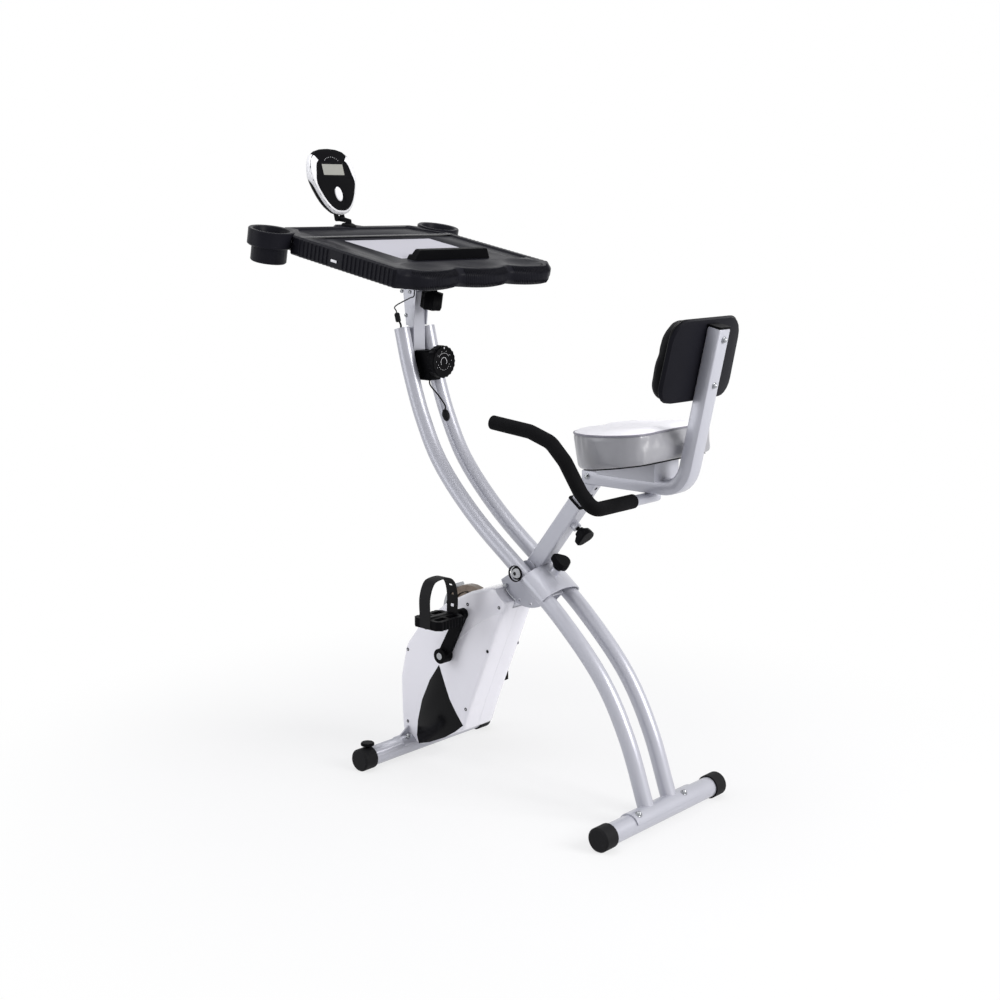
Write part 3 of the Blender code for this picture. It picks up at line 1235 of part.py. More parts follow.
def build_handle(body, finishes, underside):
    """Handle tube under the seat's arm on the left, with a foam grip from the side bend on."""
    height = underside - CLEARANCE - HANDLE_TUBE_RADIUS
    cross = place(HANDLE_AHEAD, 0, height)
    rows = [cross + Vector((0, ARM_WIDTH / 2 + 0.006, 0)), cross - Y_AXIS * HANDLE_SIDE]
    for ahead, above in HANDLE_COURSE:
        rows.append(rows[1] + Vector((-ahead, 0, above)))
    course = bent_course(rows, HANDLE_BEND, 3)
    dense = []
    for start, end in zip(course, course[1:]):
        pieces = max(1, round((end - start).length / 0.070))
        dense += [start.lerp(end, piece / pieces) for piece in range(pieces)]
    dense.append(course[-1])
    bar = add_piece("handle_bar", swept(dense, HANDLE_TUBE_RADIUS, 3), finishes["frame_paint"], body)
    cut(bar, swept(lengthened(dense, 0.004), HANDLE_TUBE_RADIUS - HANDLE_TUBE_WALL, 1), body)
    grip_course = [point for point in dense if point.y < -0.062]
    grip_course.append(dense[-1] + (dense[-1] - dense[-2]).normalized() * 0.003)
    lining = grip_course[:-1] + [dense[-1] + (dense[-1] - dense[-2]).normalized() * CLEARANCE]
    first = (lining[0] - lining[1]).normalized() * 0.01
    grip = add_piece("handle_grip", swept(grip_course, GRIP_RADIUS, 4), finishes["foam"], body)
    cut(grip, swept([lining[0] + first] + lining, HANDLE_TUBE_RADIUS + 3 * CLEARANCE, 3), body)


def build_mast(frame, dial_body, knob_body, finishes):
    """Mast, the desk's carriage, the resistance block with its dial, and both cables."""
    half_depth, half_width = MAST_DEPTH / 2, MAST_WIDTH / 2
    centre = place(MAST_AHEAD, 0, 0)
    low, high = centre + Vector(
        (-half_depth, -half_width, MAST_FOOT)), centre + Vector((half_depth, half_width, MAST_TOP))
    post = add_piece("mast_post", block(low, high), finishes["frame_paint"], frame)
    soften(post, 0.002, 2)
    wall = Vector((MAST_WALL, MAST_WALL, 0))
    beyond = Vector((0, 0, 0.01))
    cut(post, block(low + wall - beyond, high - wall + beyond), frame)
    web_front = centre.x - half_depth - WEB_WALL
    join(
        post,
        block(
            (web_front, -TUBE_PITCH / 2 + 0.006, WEB_LOW),
            (web_front + WEB_WALL + 0.001, TUBE_PITCH / 2 - 0.006, WEB_HIGH)),
        frame)
    for sign in (-1, 1):
        cut(post, swept(tube_course(sign * TUBE_PITCH / 2)[:5], TUBE_RADIUS + 2 * CLEARANCE, 6), frame)

    inner = half_width + CLEARANCE
    plate_top = mast_plate_top()
    top_line = [(DESK @ Vector((x, 0, plate_top))) for x in (-mast_place() - 0.034, -mast_place() + 0.032)]
    outline = [
        (top_line[0].x, top_line[0].z), (top_line[0].x + 0.004, top_line[0].z - 0.030),
        (centre.x - 0.013, CHEEK_FOOT), (centre.x + 0.013, CHEEK_FOOT),
        (top_line[1].x - 0.008, top_line[1].z - 0.034), (top_line[1].x, top_line[1].z),
    ]
    bracket = add_piece(
        "mast_bracket", side_plate(outline, -inner - MAST_PLATE_WALL, -inner), finishes["frame_paint"], frame)
    join(bracket, side_plate(outline, inner, inner + MAST_PLATE_WALL), frame)
    carriage = block(
        (-mast_place() - CARRIAGE_AHEAD, -RAIL_HALF_WIDTH, plate_top - 0.001),
        (-clamp_place() + 0.020, RAIL_HALF_WIDTH, plate_top + CARRIAGE_THICKNESS), DESK)
    join(bracket, carriage, frame)

    knob_tip = DESK @ Vector((-clamp_place(), 0, plate_top - CLEARANCE - 0.001))
    down = DESK.to_3x3() @ Vector((0, 0, -1))
    end = CLAMP_STEM + CLAMP_DEPTH
    levels = [
        (0.38, 0.0), (0.38, CLAMP_STEM - 0.004), (0.96, CLAMP_STEM), (0.98, end - 0.003), (0.88, end)]
    add_piece(
        "desk_clamp_knob", ring_stack(
            knob_outline(0.0255, 0.0025, 7, 28), levels, matrix=aim(knob_tip, down)),
        finishes["black_plastic"], knob_body)

    rear_face = centre.x + half_depth + CLEARANCE
    block_half = TUBE_PITCH / 2 - TUBE_RADIUS - 0.004
    housing = add_piece(
        "tension_block", block(
            (rear_face, -block_half, BLOCK_LOW), (rear_face + BLOCK_DEPTH, block_half, BLOCK_HIGH)),
        finishes["black_plastic"], frame)
    soften(housing, 0.004, 2)
    outer = rear_face + BLOCK_DEPTH + CLEARANCE
    dial_centre = Vector((outer, 0, DIAL_HEIGHT))
    flutes = knob_outline(DIAL_RADIUS, DIAL_FLUTE, DIAL_FLUTES, DIAL_FLUTES * 2)
    levels = [
        (0.60, 0), (0.62, 0.006), (0.99, 0.008), (1.0, DIAL_DEPTH - 0.003), (0.95, DIAL_DEPTH), (0.80, DIAL_DEPTH - 0.002)]
    add_piece(
        "tension_dial", ring_stack(flutes, levels, matrix=aim(dial_centre, (1, 0, 0))), finishes["black_plastic"], dial_body)


def mast_place():
    """Distance of the mast's middle along the desk from the desk's own origin."""
    return (MAST_AHEAD - DESK_AHEAD) / math.cos(DESK_TILT) - 0.008


def clamp_place():
    """Distance of the desk's clamp along the desk from the desk's own origin."""
    return mast_place() - CLAMP_SPACING


def mast_plate_top():
    """Height of the bracket's top in the desk's frame, under the rail."""
    return -DESK_SKIN - 2 * CLEARANCE - RAIL_THICKNESS - CARRIAGE_THICKNESS


def build_cables(frame, finishes):
    """Dial cable into its grommet, and the sensor lead from the desk into its plug."""
    course = tube_course(TUBE_PITCH / 2)
    grommet_z = 0.875
    near = min(course, key=lambda point: abs(point.z - grommet_z))
    seat = Vector((near.x + 0.010, near.y - TUBE_RADIUS * 0.86, near.z))
    shape = bmesh.new()
    bmesh.ops.create_uvsphere(shape, u_segments=16, v_segments=10, radius=1.0)
    bmesh.ops.transform(
        shape, verts=shape.verts[:],
        matrix=Matrix.Translation(seat) @ Matrix.Rotation(math.radians(-18), 4, "Y") @ Matrix.Diagonal((0.0105, 0.008, 0.0155, 1)))
    grommet = add_piece("cable_grommet", shape, finishes["rubber"], frame)
    cut(grommet, swept(course[:8], TUBE_RADIUS + 2 * CLEARANCE, 6), frame)

    block_x = place(MAST_AHEAD, 0, 0).x + MAST_DEPTH / 2 + CLEARANCE + BLOCK_DEPTH * 0.62
    start = Vector((block_x, 0, BLOCK_LOW - CLEARANCE))
    end = seat + Vector((0.004, -0.0065, 0.0140))
    route = [
        start, start + Vector((0.001, 0.002, -0.014)),
        start.lerp(end, 0.55) + Vector((0.006, -0.004, 0.002)), end + Vector((0.002, -0.003, 0.012)),
        end]
    add_cord("tension_cable", smooth_course(route, 4), 0.0018, finishes["rubber"], frame)


def build_sensor(frame, finishes):
    """Plug at the mouth of the left frame tube and the lead that comes down from the desk."""
    mouth = tube_course(-TUBE_PITCH / 2)[0]
    low = mouth + Vector((0.001, -0.002, -0.030))
    neck = mouth + Vector((0.001, -0.004, 0.008))
    head = neck + Vector((-0.001, -0.007, 0.008))
    top = head + Vector((-0.002, -0.004, 0.022))
    matrix = aim(head, top - head)
    length = (top - head).length
    profile = [
        (0, 0), (0.0050, 0), (0.0066, 0.002), (0.0066, length - 0.003), (0.0040, length), (0, length)]
    plug = add_piece("sensor_plug", turned(profile, matrix, 14), finishes["rubber"], frame)
    tail = smooth_course([low, neck, head + (top - head) * 0.15], 2)
    join(plug, swept(tail, 0.0024, 2), frame)
    start = DESK @ Vector((0.004, -DESK_HALF_WIDTH + 0.060, -DESK_THICKNESS - CLEARANCE))
    end = top + (top - head).normalized() * CLEARANCE
    down = DESK.to_3x3() @ Vector((0, 0, -1))
    along = (top - head).normalized()
    route = [
        start + down * 0.004, start + down * 0.018, start.lerp(end, 0.45) + Vector((0.010, 0, 0.004)),
        end + along * 0.016, end + along * 0.004,
    ]
    add_cord("sensor_cable", [start] + smooth_course(route, 6) + [end], 0.0015, finishes["rubber"], frame)


def rider_edge():
    """Rider's edge of the desk from -Y to +Y: three shallow lobes between round corners."""
    sweep = math.asin(DESK_LOBE_PITCH / 2 / DESK_LOBE_RADIUS)
    side = DESK_HALF_WIDTH - DESK_LOBE_PITCH
    corner = [
        (DESK_LOBE_REACH * math.sin(turn), -DESK_LOBE_PITCH - side * math.cos(turn))
        for turn in [math.pi / 2 * step / 8 for step in range(8)]
    ]
    points = list(corner)
    for index in (-1, 0, 1):
        centre = (DESK_LOBE_REACH - DESK_LOBE_RADIUS, index * DESK_LOBE_PITCH)
        start = 0 if index == -1 else -sweep
        end = 0 if index == 1 else sweep
        lobe = arc(centre, DESK_LOBE_RADIUS, start, end, 6 if index else 12)
        points += lobe if index == -1 else lobe[1:]
    return points + [(x, -y) for x, y in reversed(corner)]


def ribbed_side(sign):
    """One side of the desk as a row of ribs, from the front towards the rider."""
    pitch = (RIB_END - RIB_START) / RIB_COUNT
    points = []
    for rib in range(RIB_COUNT + 1):
        front = -RIB_END + rib * pitch
        points.append((front, DESK_HALF_WIDTH - RIB_DEPTH))
        if rib < RIB_COUNT:
            points.append((front + pitch * 0.5, DESK_HALF_WIDTH))
    return [(x, sign * y) for x, y in points]


def build_desk(body, finishes):
    """Desk moulding with cup holders, inlay, paper stop, elastic band and slide rail."""
    half, depth = DESK_HALF_WIDTH, DESK_DEPTH
    cup = CUP_RADIUS + RUNNING_GAP
    front = [(-depth, 0.215), (-depth, 0.050), (-depth - FRONT_TAB, 0.030)]
    front += [(x, -y) for x, y in reversed(front)]
    outline = rider_edge() + ribbed_side(1)[::-1] + [
        (-CUP_PLACE + 0.030, half - 0.004), (-CUP_PLACE - 0.010, half - 0.020)]
    outline += front + [
        (-CUP_PLACE - 0.010, -half + 0.020), (-CUP_PLACE + 0.030, -half + 0.004)] + ribbed_side(-1)
    bottom = DESK @ Matrix.Translation((0, 0, -DESK_THICKNESS))
    desk = add_piece("desk_top", prism(outline, DESK_THICKNESS, bottom), finishes["desk_plastic"], body)
    soften(desk, 0.004, 1, 60)
    for sign in (-1, 1):
        centre = Vector((-CUP_PLACE, sign * CUP_SIDE, 0))
        ends = [DESK @ (centre + Vector((0, 0, z))) for z in (-0.08, 0.02)]
        cut(desk, rod(cup, *ends, 40), body)
    pocket = rounded([
        (-depth + DESK_RIM, -0.200), (-CUP_PLACE + 0.062, -half + 0.030), (-0.010, -half + 0.026),
        (-0.010, half - 0.026), (-CUP_PLACE + 0.062, half - 0.030), (-depth + DESK_RIM, 0.200)], 0.016, 3)
    cut(
        desk,
        prism(pocket, DESK_THICKNESS, DESK @ Matrix.Translation((0, 0, -DESK_SKIN - DESK_THICKNESS))),
        body)
    well = rounded([
        (-depth + 0.022, -0.190), (-CUP_PLACE + 0.070, -half + 0.022), (-0.055, -half + 0.022),
        (-0.055, half - 0.022), (-CUP_PLACE + 0.070, half - 0.022), (-depth + 0.022, 0.190)], 0.020, 4)
    cut(desk, prism(well, 0.02, DESK @ Matrix.Translation((0, 0, -WELL_DEPTH))), body)
    inlay_well = [
        (-INLAY_END - CLEARANCE, -INLAY_HALF - CLEARANCE), (
            -INLAY_START + CLEARANCE, -INLAY_HALF - CLEARANCE),
        (-INLAY_START + CLEARANCE, INLAY_HALF + CLEARANCE), (-INLAY_END - CLEARANCE, INLAY_HALF + CLEARANCE)]
    floor = -WELL_DEPTH - INLAY_THICKNESS
    cut(desk, prism(inlay_well, 0.02, DESK @ Matrix.Translation((0, 0, floor - CLEARANCE))), body)
    for index in (-1, 0, 1):
        sphere = (DISH_RADIUS ** 2 + DISH_DEPTH ** 2) / (2 * DISH_DEPTH)
        profile = [(0, -DISH_DEPTH)]
        for step in range(1, 5):
            radius = DISH_RADIUS * step / 4
            profile.append((radius, sphere - DISH_DEPTH - math.sqrt(sphere ** 2 - radius ** 2)))
        profile += [(DISH_RADIUS, 0.02), (0, 0.02)]
        centre = DESK @ Matrix.Translation(
            (-0.012, index * DESK_LOBE_PITCH, 0)) @ Matrix.Diagonal((0.68, 1.05, 1, 1))
        cut(desk, turned(profile, centre, 24), body)

    inlay = rounded([(x * 1.0, y) for x, y in (
        (-INLAY_END, -INLAY_HALF), (-INLAY_START, -INLAY_HALF), (-INLAY_START, INLAY_HALF), (-INLAY_END, INLAY_HALF))], 0.003, 2)
    add_piece(
        "desk_inlay",
        prism(inlay, INLAY_THICKNESS - CLEARANCE, DESK @ Matrix.Translation((0, 0, floor))),
        finishes["inlay_grey"], body)
    surface = -WELL_DEPTH + CLEARANCE

    bar_half, bar = STOP_BAR_HALF, STOP_BAR_HEIGHT
    depth_half = STOP_BAR_DEPTH / 2
    section = rounded(
        [(-bar_half, 0), (bar_half, 0), (bar_half - 0.014, bar), (-bar_half + 0.014, bar)],
        [0, 0, 0.006, 0.006], 3)
    across = DESK @ Matrix.Translation((-STOP_BAR_PLACE - depth_half, 0, surface)) @ Matrix(
        ((0, 0, 1, 0), (1, 0, 0, 0), (0, 1, 0, 0), (0, 0, 0, 1)))
    bar_piece = add_piece(
        "paper_stop", prism(section, STOP_BAR_DEPTH, across), finishes["black_plastic"], body)
    slope = DESK @ Matrix.Translation((-STOP_BAR_PLACE, 0, surface))
    cut(bar_piece, block((-0.04, -bar_half - 0.01, 0), (0, bar_half + 0.01, 0.05),
                         slope @ Matrix.Translation((-0.006, 0, 0.008)) @ Matrix.Rotation(math.radians(12), 4, "Y")), body)

    strap_low = CLEARANCE
    strip = block(
        (-BAND_PLACE - BAND_WIDTH / 2, -BAND_HALF, strap_low),
        (-BAND_PLACE + BAND_WIDTH / 2, BAND_HALF, strap_low + BAND_THICKNESS), DESK)
    add_piece("elastic_band", strip, finishes["elastic"], body)

    r, low_r, wall = CUP_RADIUS, CUP_LOWER_RADIUS, CUP_WALL
    profile = [
        (0, -CUP_DEPTH), (low_r - 0.003, -CUP_DEPTH), (low_r, -CUP_DEPTH + 0.003), (
            low_r, -CUP_UPPER_DEPTH - 0.002),
        (r - 0.003, -CUP_UPPER_DEPTH), (r, -CUP_UPPER_DEPTH + 0.003), (r, CUP_RIM_HEIGHT - 0.002),
        (r - 0.002, CUP_RIM_HEIGHT), (r - 0.010, CUP_RIM_HEIGHT - 0.001), (low_r - wall, -0.006),
        (low_r - wall, -CUP_DEPTH + wall), (0, -CUP_DEPTH + wall),
    ]
    for side, sign in on_both_sides():
        matrix = DESK @ Matrix.Translation((-CUP_PLACE, sign * CUP_SIDE, 0))
        add_piece(side + "_cup_holder", turned(profile, matrix, 26), finishes["desk_plastic"], body)

    under = -DESK_SKIN - CLEARANCE
    middle = -mast_place()
    rail_low = under - RAIL_THICKNESS
    rail = add_piece(
        "desk_rail",
        block(
            (middle - RAIL_LENGTH / 2, -RAIL_HALF_WIDTH, rail_low),
            (middle + RAIL_LENGTH / 2, RAIL_HALF_WIDTH, under), DESK),
        finishes["steel"], body)
    cut(
        rail,
        block(
            (middle - RAIL_LENGTH, -RAIL_HALF_WIDTH + 0.008, rail_low - 0.01),
            (middle + RAIL_LENGTH, RAIL_HALF_WIDTH - 0.008, under - 0.004), DESK),
        body)


def monitor_matrix():
    """Frame at the monitor's hinge: X across to the right, Y up its face, Z towards the rider."""
    tilt = Matrix.Rotation(-MONITOR_TILT, 4, "Y")
    axes = Matrix(((0, 0, 1, 0), (1, 0, 0, 0), (0, 1, 0, 0), (0, 0, 0, 1)))
    return Matrix.Translation(place(MONITOR_AHEAD, 0, MONITOR_HEIGHT)) @ tilt @ axes


def monitor_hinge():
    """Middle of the monitor's hinge, just below its case."""
    return monitor_matrix() @ Vector((0, -HINGE_DROP, 0.002))


def monitor_plan():
    """Face of the monitor: broad and round at the top, narrower at the foot."""
    w, top, bottom = MONITOR_HALF_WIDTH, MONITOR_TOP, MONITOR_BOTTOM
    right = [
        (0, -bottom), (w * 0.34, -bottom * 0.86), (w * 0.66, -bottom * 0.25), (w * 0.90, top * 0.22),
        (w, top * 0.48), (w * 0.90, top * 0.75), (w * 0.60, top * 0.94), (0, top),
    ]
    left = [(-x, y) for x, y in reversed(right[1:-1])]
    points = right + left
    closed = smooth_course([Vector(p) for p in points + [points[0]]], 2)[:-1]
    middle = (top - bottom) / 2
    return [(point.x, point.y - middle) for point in closed], middle


def build_monitor(desk_body, monitor_body, button_body, finishes):
    """Stem on the desk, tilting monitor with its screen and button."""
    base = DESK @ Matrix.Translation((-STEM_PLACE, 0, CLEARANCE))
    hinge = monitor_hinge()
    foot_profile = [(0, 0), (0.020, 0), (0.018, 0.004), (0.010, 0.007), (0, 0.007)]
    stem = add_piece("monitor_stem", turned(foot_profile, base, 18), finishes["black_plastic"], desk_body)
    course = [base @ Vector((0, 0, 0.004)), base @ Vector((-0.002, 0, 0.012)), hinge]
    join(stem, swept(course, STEM_RADIUS, 2), desk_body)
    ends = [hinge + Y_AXIS * side * HINGE_BARREL_HALF for side in (-1, 1)]
    join(stem, rod(HINGE_BARREL_RADIUS, *ends, 16), desk_body)

    matrix = monitor_matrix()
    plan, middle = monitor_plan()
    d = MONITOR_DEPTH
    levels = [
        (0.35, -d * 0.56), (0.66, -d * 0.50), (0.88, -d * 0.26), (0.985, 0.0), (1.0, d * 0.20),
        (0.97, d * 0.38), (0.90, d * 0.44)]
    lifted = matrix @ Matrix.Translation((0, middle, 0))
    case = add_piece(
        "monitor_case", ring_stack(plan, levels, matrix=lifted), finishes["black_plastic"], monitor_body)
    inner = HINGE_BARREL_HALF + CLEARANCE
    outer = inner + HINGE_LUG_WIDTH
    for side in (-1, 1):
        join(
            case,
            rod(HINGE_BARREL_RADIUS, hinge + Y_AXIS * side * inner, hinge + Y_AXIS * side * outer, 16),
            monitor_body)
        low, high = sorted((side * inner, side * outer))
        lug = block((low, -HINGE_DROP, -0.0040), (high, -MONITOR_BOTTOM + 0.008, 0.0080), matrix)
        join(case, lug, monitor_body)
    face = d * 0.44
    screen_low, screen_y = face - 0.002, MONITOR_TOP * 0.56
    hw, hh = SCREEN_WIDTH / 2, SCREEN_HEIGHT / 2
    window = [(-hw, screen_y - hh), (hw, screen_y - hh), (hw, screen_y + hh), (-hw, screen_y + hh)]
    cut(
        case,
        prism(inset(window, -CLEARANCE), 0.01, matrix @ Matrix.Translation((0, 0, screen_low - CLEARANCE))),
        monitor_body)
    add_piece(
        "monitor_screen", prism(window, 0.0018, matrix @ Matrix.Translation((0, 0, screen_low))),
        finishes["screen"], monitor_body)
    button_y = MONITOR_TOP * 0.07
    oval = [
        (math.cos(a) * BUTTON_WIDTH / 2, button_y + math.sin(a) * BUTTON_HEIGHT / 2) for a in [math.tau * s / 20 for s in range(20)]]
    cut(
        case, prism(inset(oval, -CLEARANCE), 0.02, matrix @ Matrix.Translation((0, 0, face - 0.006))),
        monitor_body)
    shifted = [(x, y - button_y) for x, y in oval]
    at = matrix @ Matrix.Translation((0, button_y, face - 0.0030))
    add_piece(
        "monitor_button", ring_stack(shifted, [(1.0, 0), (1.0, 0.0040), (0.88, 0.0055)], matrix=at),
        finishes["white_plastic"], button_body)


def main():
    """Build every piece of the bike."""
    clear_scene()
    finishes = make_finishes()
    frame = Body("frame", ROOT)
    front_frame = Body("front_frame", PIVOT, frame)
    lock_x, lock_z = lock_hole(LOCK_HOLE_ANGLES[0])
    lock_pin = Body("lock_pin_slide", (lock_x, 0, lock_z), frame)
    dial = Body("dial", place(MAST_AHEAD, 0, DIAL_HEIGHT), frame)
    clamp = Body("desk_clamp", DESK @ Vector((-clamp_place(), 0, mast_plate_top())), frame)
    desk = Body("desk", place(DESK_AHEAD, 0, DESK_HEIGHT), frame)
    monitor = Body("monitor", monitor_hinge(), desk)
    button = Body("monitor_key", monitor.origin, monitor)
    fold_pull = Body("fold_pull", LEG @ Vector((FOLD_PIN_PLACE, 0, 0)), front_frame)
    seat_pull = Body("seat_pull", LEG @ Vector((0, 0, SEAT_PIN_LEVEL)), front_frame)
    crank = Body("crank", CRANK, front_frame)
    wheel = Body("wheel", FLYWHEEL, front_frame)
    magnet = Body("magnet", magnet_pivot(), front_frame)
    seat = Body("seat", LEG @ Vector((0, 0, SEAT_TUBE_ABOVE)), front_frame)

    build_rear_frame(frame, finishes)
    build_lock_bracket(frame, lock_pin, finishes)
    build_mast(frame, dial, clamp, finishes)
    build_cables(frame, finishes)
    build_sensor(frame, finishes)
    build_seat_tube(front_frame, seat_pull, fold_pull, finishes)
    levellers = {
        side: Body(side + "_leveller_turn", leveller_seat(sign), front_frame) for side, sign in on_both_sides()}
    build_drive_frame(front_frame, levellers, finishes)
    build_covers(front_frame, finishes)
    build_drive(front_frame, crank, wheel, magnet, finishes)
    for side, sign in on_both_sides():
        build_crank_arm(side, sign, crank, finishes)
        pedal = Body(side + "_pedal_turn", crank_end(sign), crank)
        build_pedal(side, sign, pedal, finishes)
    build_seat(seat, finishes)
    build_desk(desk, finishes)
    build_monitor(desk, monitor, button, finishes)


main()
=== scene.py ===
"""Dressing of the folding desk bike: finishes, padded seat and back, trims, leads and studio."""

import json
import math

import bmesh
import bpy
from mathutils import Matrix, Vector
from mathutils.bvhtree import BVHTree

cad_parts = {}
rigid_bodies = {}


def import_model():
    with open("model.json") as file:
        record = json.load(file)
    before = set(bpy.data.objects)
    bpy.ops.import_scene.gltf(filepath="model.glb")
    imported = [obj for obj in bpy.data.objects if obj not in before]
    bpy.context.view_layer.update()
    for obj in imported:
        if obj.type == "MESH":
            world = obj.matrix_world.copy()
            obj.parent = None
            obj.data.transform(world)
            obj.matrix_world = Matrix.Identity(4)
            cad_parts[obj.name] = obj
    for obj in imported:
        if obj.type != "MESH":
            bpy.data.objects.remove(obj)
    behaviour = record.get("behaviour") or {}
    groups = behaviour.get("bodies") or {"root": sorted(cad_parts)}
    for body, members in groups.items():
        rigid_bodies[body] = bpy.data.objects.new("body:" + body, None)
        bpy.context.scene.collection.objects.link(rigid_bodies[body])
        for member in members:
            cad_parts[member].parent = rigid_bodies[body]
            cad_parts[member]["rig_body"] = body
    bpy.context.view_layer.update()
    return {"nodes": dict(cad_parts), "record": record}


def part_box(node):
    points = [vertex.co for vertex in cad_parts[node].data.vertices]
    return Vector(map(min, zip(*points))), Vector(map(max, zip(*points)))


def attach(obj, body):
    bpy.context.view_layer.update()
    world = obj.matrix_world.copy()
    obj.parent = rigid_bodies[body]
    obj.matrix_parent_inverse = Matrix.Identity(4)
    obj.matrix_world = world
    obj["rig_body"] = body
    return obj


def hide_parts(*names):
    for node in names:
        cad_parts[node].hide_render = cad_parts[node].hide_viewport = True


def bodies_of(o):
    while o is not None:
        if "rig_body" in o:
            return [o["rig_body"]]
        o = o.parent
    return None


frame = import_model()

bl_info = {
    "name": "Folding Desk Bike",
    "version": (1, 0, 0),
    "blender": (4, 5, 0),
    "location": "View3D > Sidebar > Desk Bike",
    "description": "Dresses the packed solids of a folding desk bike and lights them",
    "category": "Object",
}

REAR_FOOT_X = 0.4758
X_AXIS, Y_AXIS, Z_AXIS = Vector((1, 0, 0)), Vector((0, 1, 0)), Vector((0, 0, 1))


def place(ahead, side, height):
    """Point given by its distance ahead of the rear foot's axis, its side and its height."""
    return Vector((REAR_FOOT_X - ahead, side, height))


def leaning(point, degrees):
    """Frame at a point, leaning about the bike's cross axis."""
    return Matrix.Translation(point) @ Matrix.Rotation(math.radians(degrees), 4, "Y")


def axes(across, up, out):
    """Turn whose X, Y and Z run along three directions."""
    return Matrix((across, up, out)).transposed().to_4x4()


def lifted(matrix, height):
    """Frame moved along its own Z."""
    return matrix @ Matrix.Translation((0, 0, height))


# Frames and sizes of the main pieces, as the solids have them
FACING_RIDER = axes((0, 1, 0), (0, 0, 1), (1, 0, 0))
FROM_LEFT = axes((1, 0, 0), (0, 0, 1), (0, -1, 0))
FROM_RIGHT = axes((-1, 0, 0), (0, 0, 1), (0, 1, 0))
SIDES = (("left", -1, FROM_LEFT), ("right", 1, FROM_RIGHT))
PIVOT = place(0.376, 0, 0.531)
CRANK = place(0.605, 0, 0.290)
CRANK_ANGLE = math.radians(62)
CRANK_LENGTH = 0.130
PEDAL_SIDE = 0.152
FRONT_FOOT = place(0.745, 0, 0.027)
REAR_FOOT = place(0, 0, 0.027)
LEG = leaning(PIVOT, 37.2)
DESK = leaning(place(0.551, 0, 1.236), 11.1)
MONITOR = leaning(place(1.042, 0, 1.388), -17) @ FACING_RIDER
DIAL_HEIGHT = 1.001
SEAT = leaning(place(0.080, 0, 0.8175), -9.9)
BACK_LEAN = 12.1
BACK = leaning(Vector((0.5691, 0, 1.054)), BACK_LEAN) @ axes((0, -1, 0), (0, 0, 1), (-1, 0, 0))
TUBE_RADIUS = 0.019
TUBE_SIDE = 0.044
TUBE_COURSE = (
    (0.3885, 0.5490), (0.3620, 0.4500), (0.3200, 0.3350), (0.2580, 0.2250), (0.1460, 0.1100),
    (0.0000, -0.0010), (-0.1210, -0.0950), (-0.2385, -0.2140), (-0.3130, -0.3400), (-0.3700, -0.4920),
)
HANDLE_CROSS = Vector((0.4308, 0, 0.7437))
HANDLE_COURSE = ((0.036, 0.034), (0.078, 0.095), (0.118, 0.133), (0.176, 0.151), (0.283, 0.161))
COVER_FACE = 0.055

# Pads: their remeshed copies and cloth, the seat's seam and band, the back's depth by height
PAD_VOXEL = 0.005
PAD_INSET = 0.002
CLOTH_FRAMES = 20
SEAM = SEAT @ Matrix.Rotation(math.atan(0.09), 4, "Y")
CROWN_SHARE = 0.4
BAND_FOOT = 0.030
BAND_STRETCH = 0.0065
BACK_HALF = 0.129
BACK_TALL = 0.090
BACK_PROFILE = (
    (-0.090, 0.043), (-0.070, 0.046), (-0.050, 0.0495), (-0.030, 0.053), (-0.006, 0.0565),
    (0.020, 0.057), (0.040, 0.055), (0.068, 0.049), (0.090, 0.043))

# Desk: three lobes at the rider's edge, and the rounding of that edge and of its two corners
LOBE_PITCH = 0.172
LOBE_RADIUS = 0.165
LOBE_REACH = 0.046
DESK_THICKNESS = 0.046
DESK_HALF_WIDTH = 0.270
CORNER_RADIUS = 0.064
CORNER_STRIPS = 7
CORNER_X = LOBE_REACH - CORNER_RADIUS
CORNER_Y = DESK_HALF_WIDTH - CORNER_RADIUS
EDGE_ROLL = 0.009
EDGE_CHAMFER = 0.004
# Rims of that edge as (level, tolerance, way): a rim moves inward for 0, down for -1 and up for 1
RIM_MOVES = (
    (0.0, 0.0004, 0), (-EDGE_CHAMFER, 0.0008, -1),
    (-DESK_THICKNESS, 0.0004, 0), (EDGE_CHAMFER - DESK_THICKNESS, 0.0008, 1))


# Shapes

def smooth_course(points, steps):
    """Smooth curve through points, as many steps between each pair."""
    points = [Vector(point) for point in points]
    padded = [2 * points[0] - points[1]] + points + [2 * points[-1] - points[-2]]
    result = []
    for first, start, end, last in zip(padded, padded[1:], padded[2:], padded[3:]):
        for step in range(steps):
            t = step / steps
            result.append(0.5 * (
                2 * start + (end - first) * t
                + (2 * first - 5 * start + 4 * end - last) * t * t
                + (3 * start - first - 3 * end + last) * t * t * t
            ))
    return result + [points[-1]]


def bend(start, corner, end, steps):
    """Points of a round bend between two points, drawn toward a corner."""
    shares = [step / steps for step in range(steps + 1)]
    return [(1 - t) ** 2 * start + 2 * t * (1 - t) * corner + t * t * end for t in shares]


def bent_course(points, radius, steps):
    """Course of straight runs with round bends."""
    result = [points[0]]
    for before, here, after in zip(points, points[1:], points[2:]):
        back, onward = (before - here).normalized(), (after - here).normalized()
        reach = radius / math.tan(back.angle(onward) / 2)
        reach = min(reach, (before - here).length * 0.49, (after - here).length * 0.49)
        result += bend(here + back * reach, here, here + onward * reach, steps)
    return result + [points[-1]]


def rounded(points, radius, steps):
    """Polygon with its corners rounded."""
    points = [Vector(point) for point in points]
    result = []
    for before, here, after in zip(points[-1:] + points, points, points[1:] + points[:1]):
        back, onward = (before - here).normalized(), (after - here).normalized()
        reach = radius / math.tan(back.angle(onward) / 2)
        result += [spot[:] for spot in bend(here + back * reach, here, here + onward * reach, steps)]
    return result


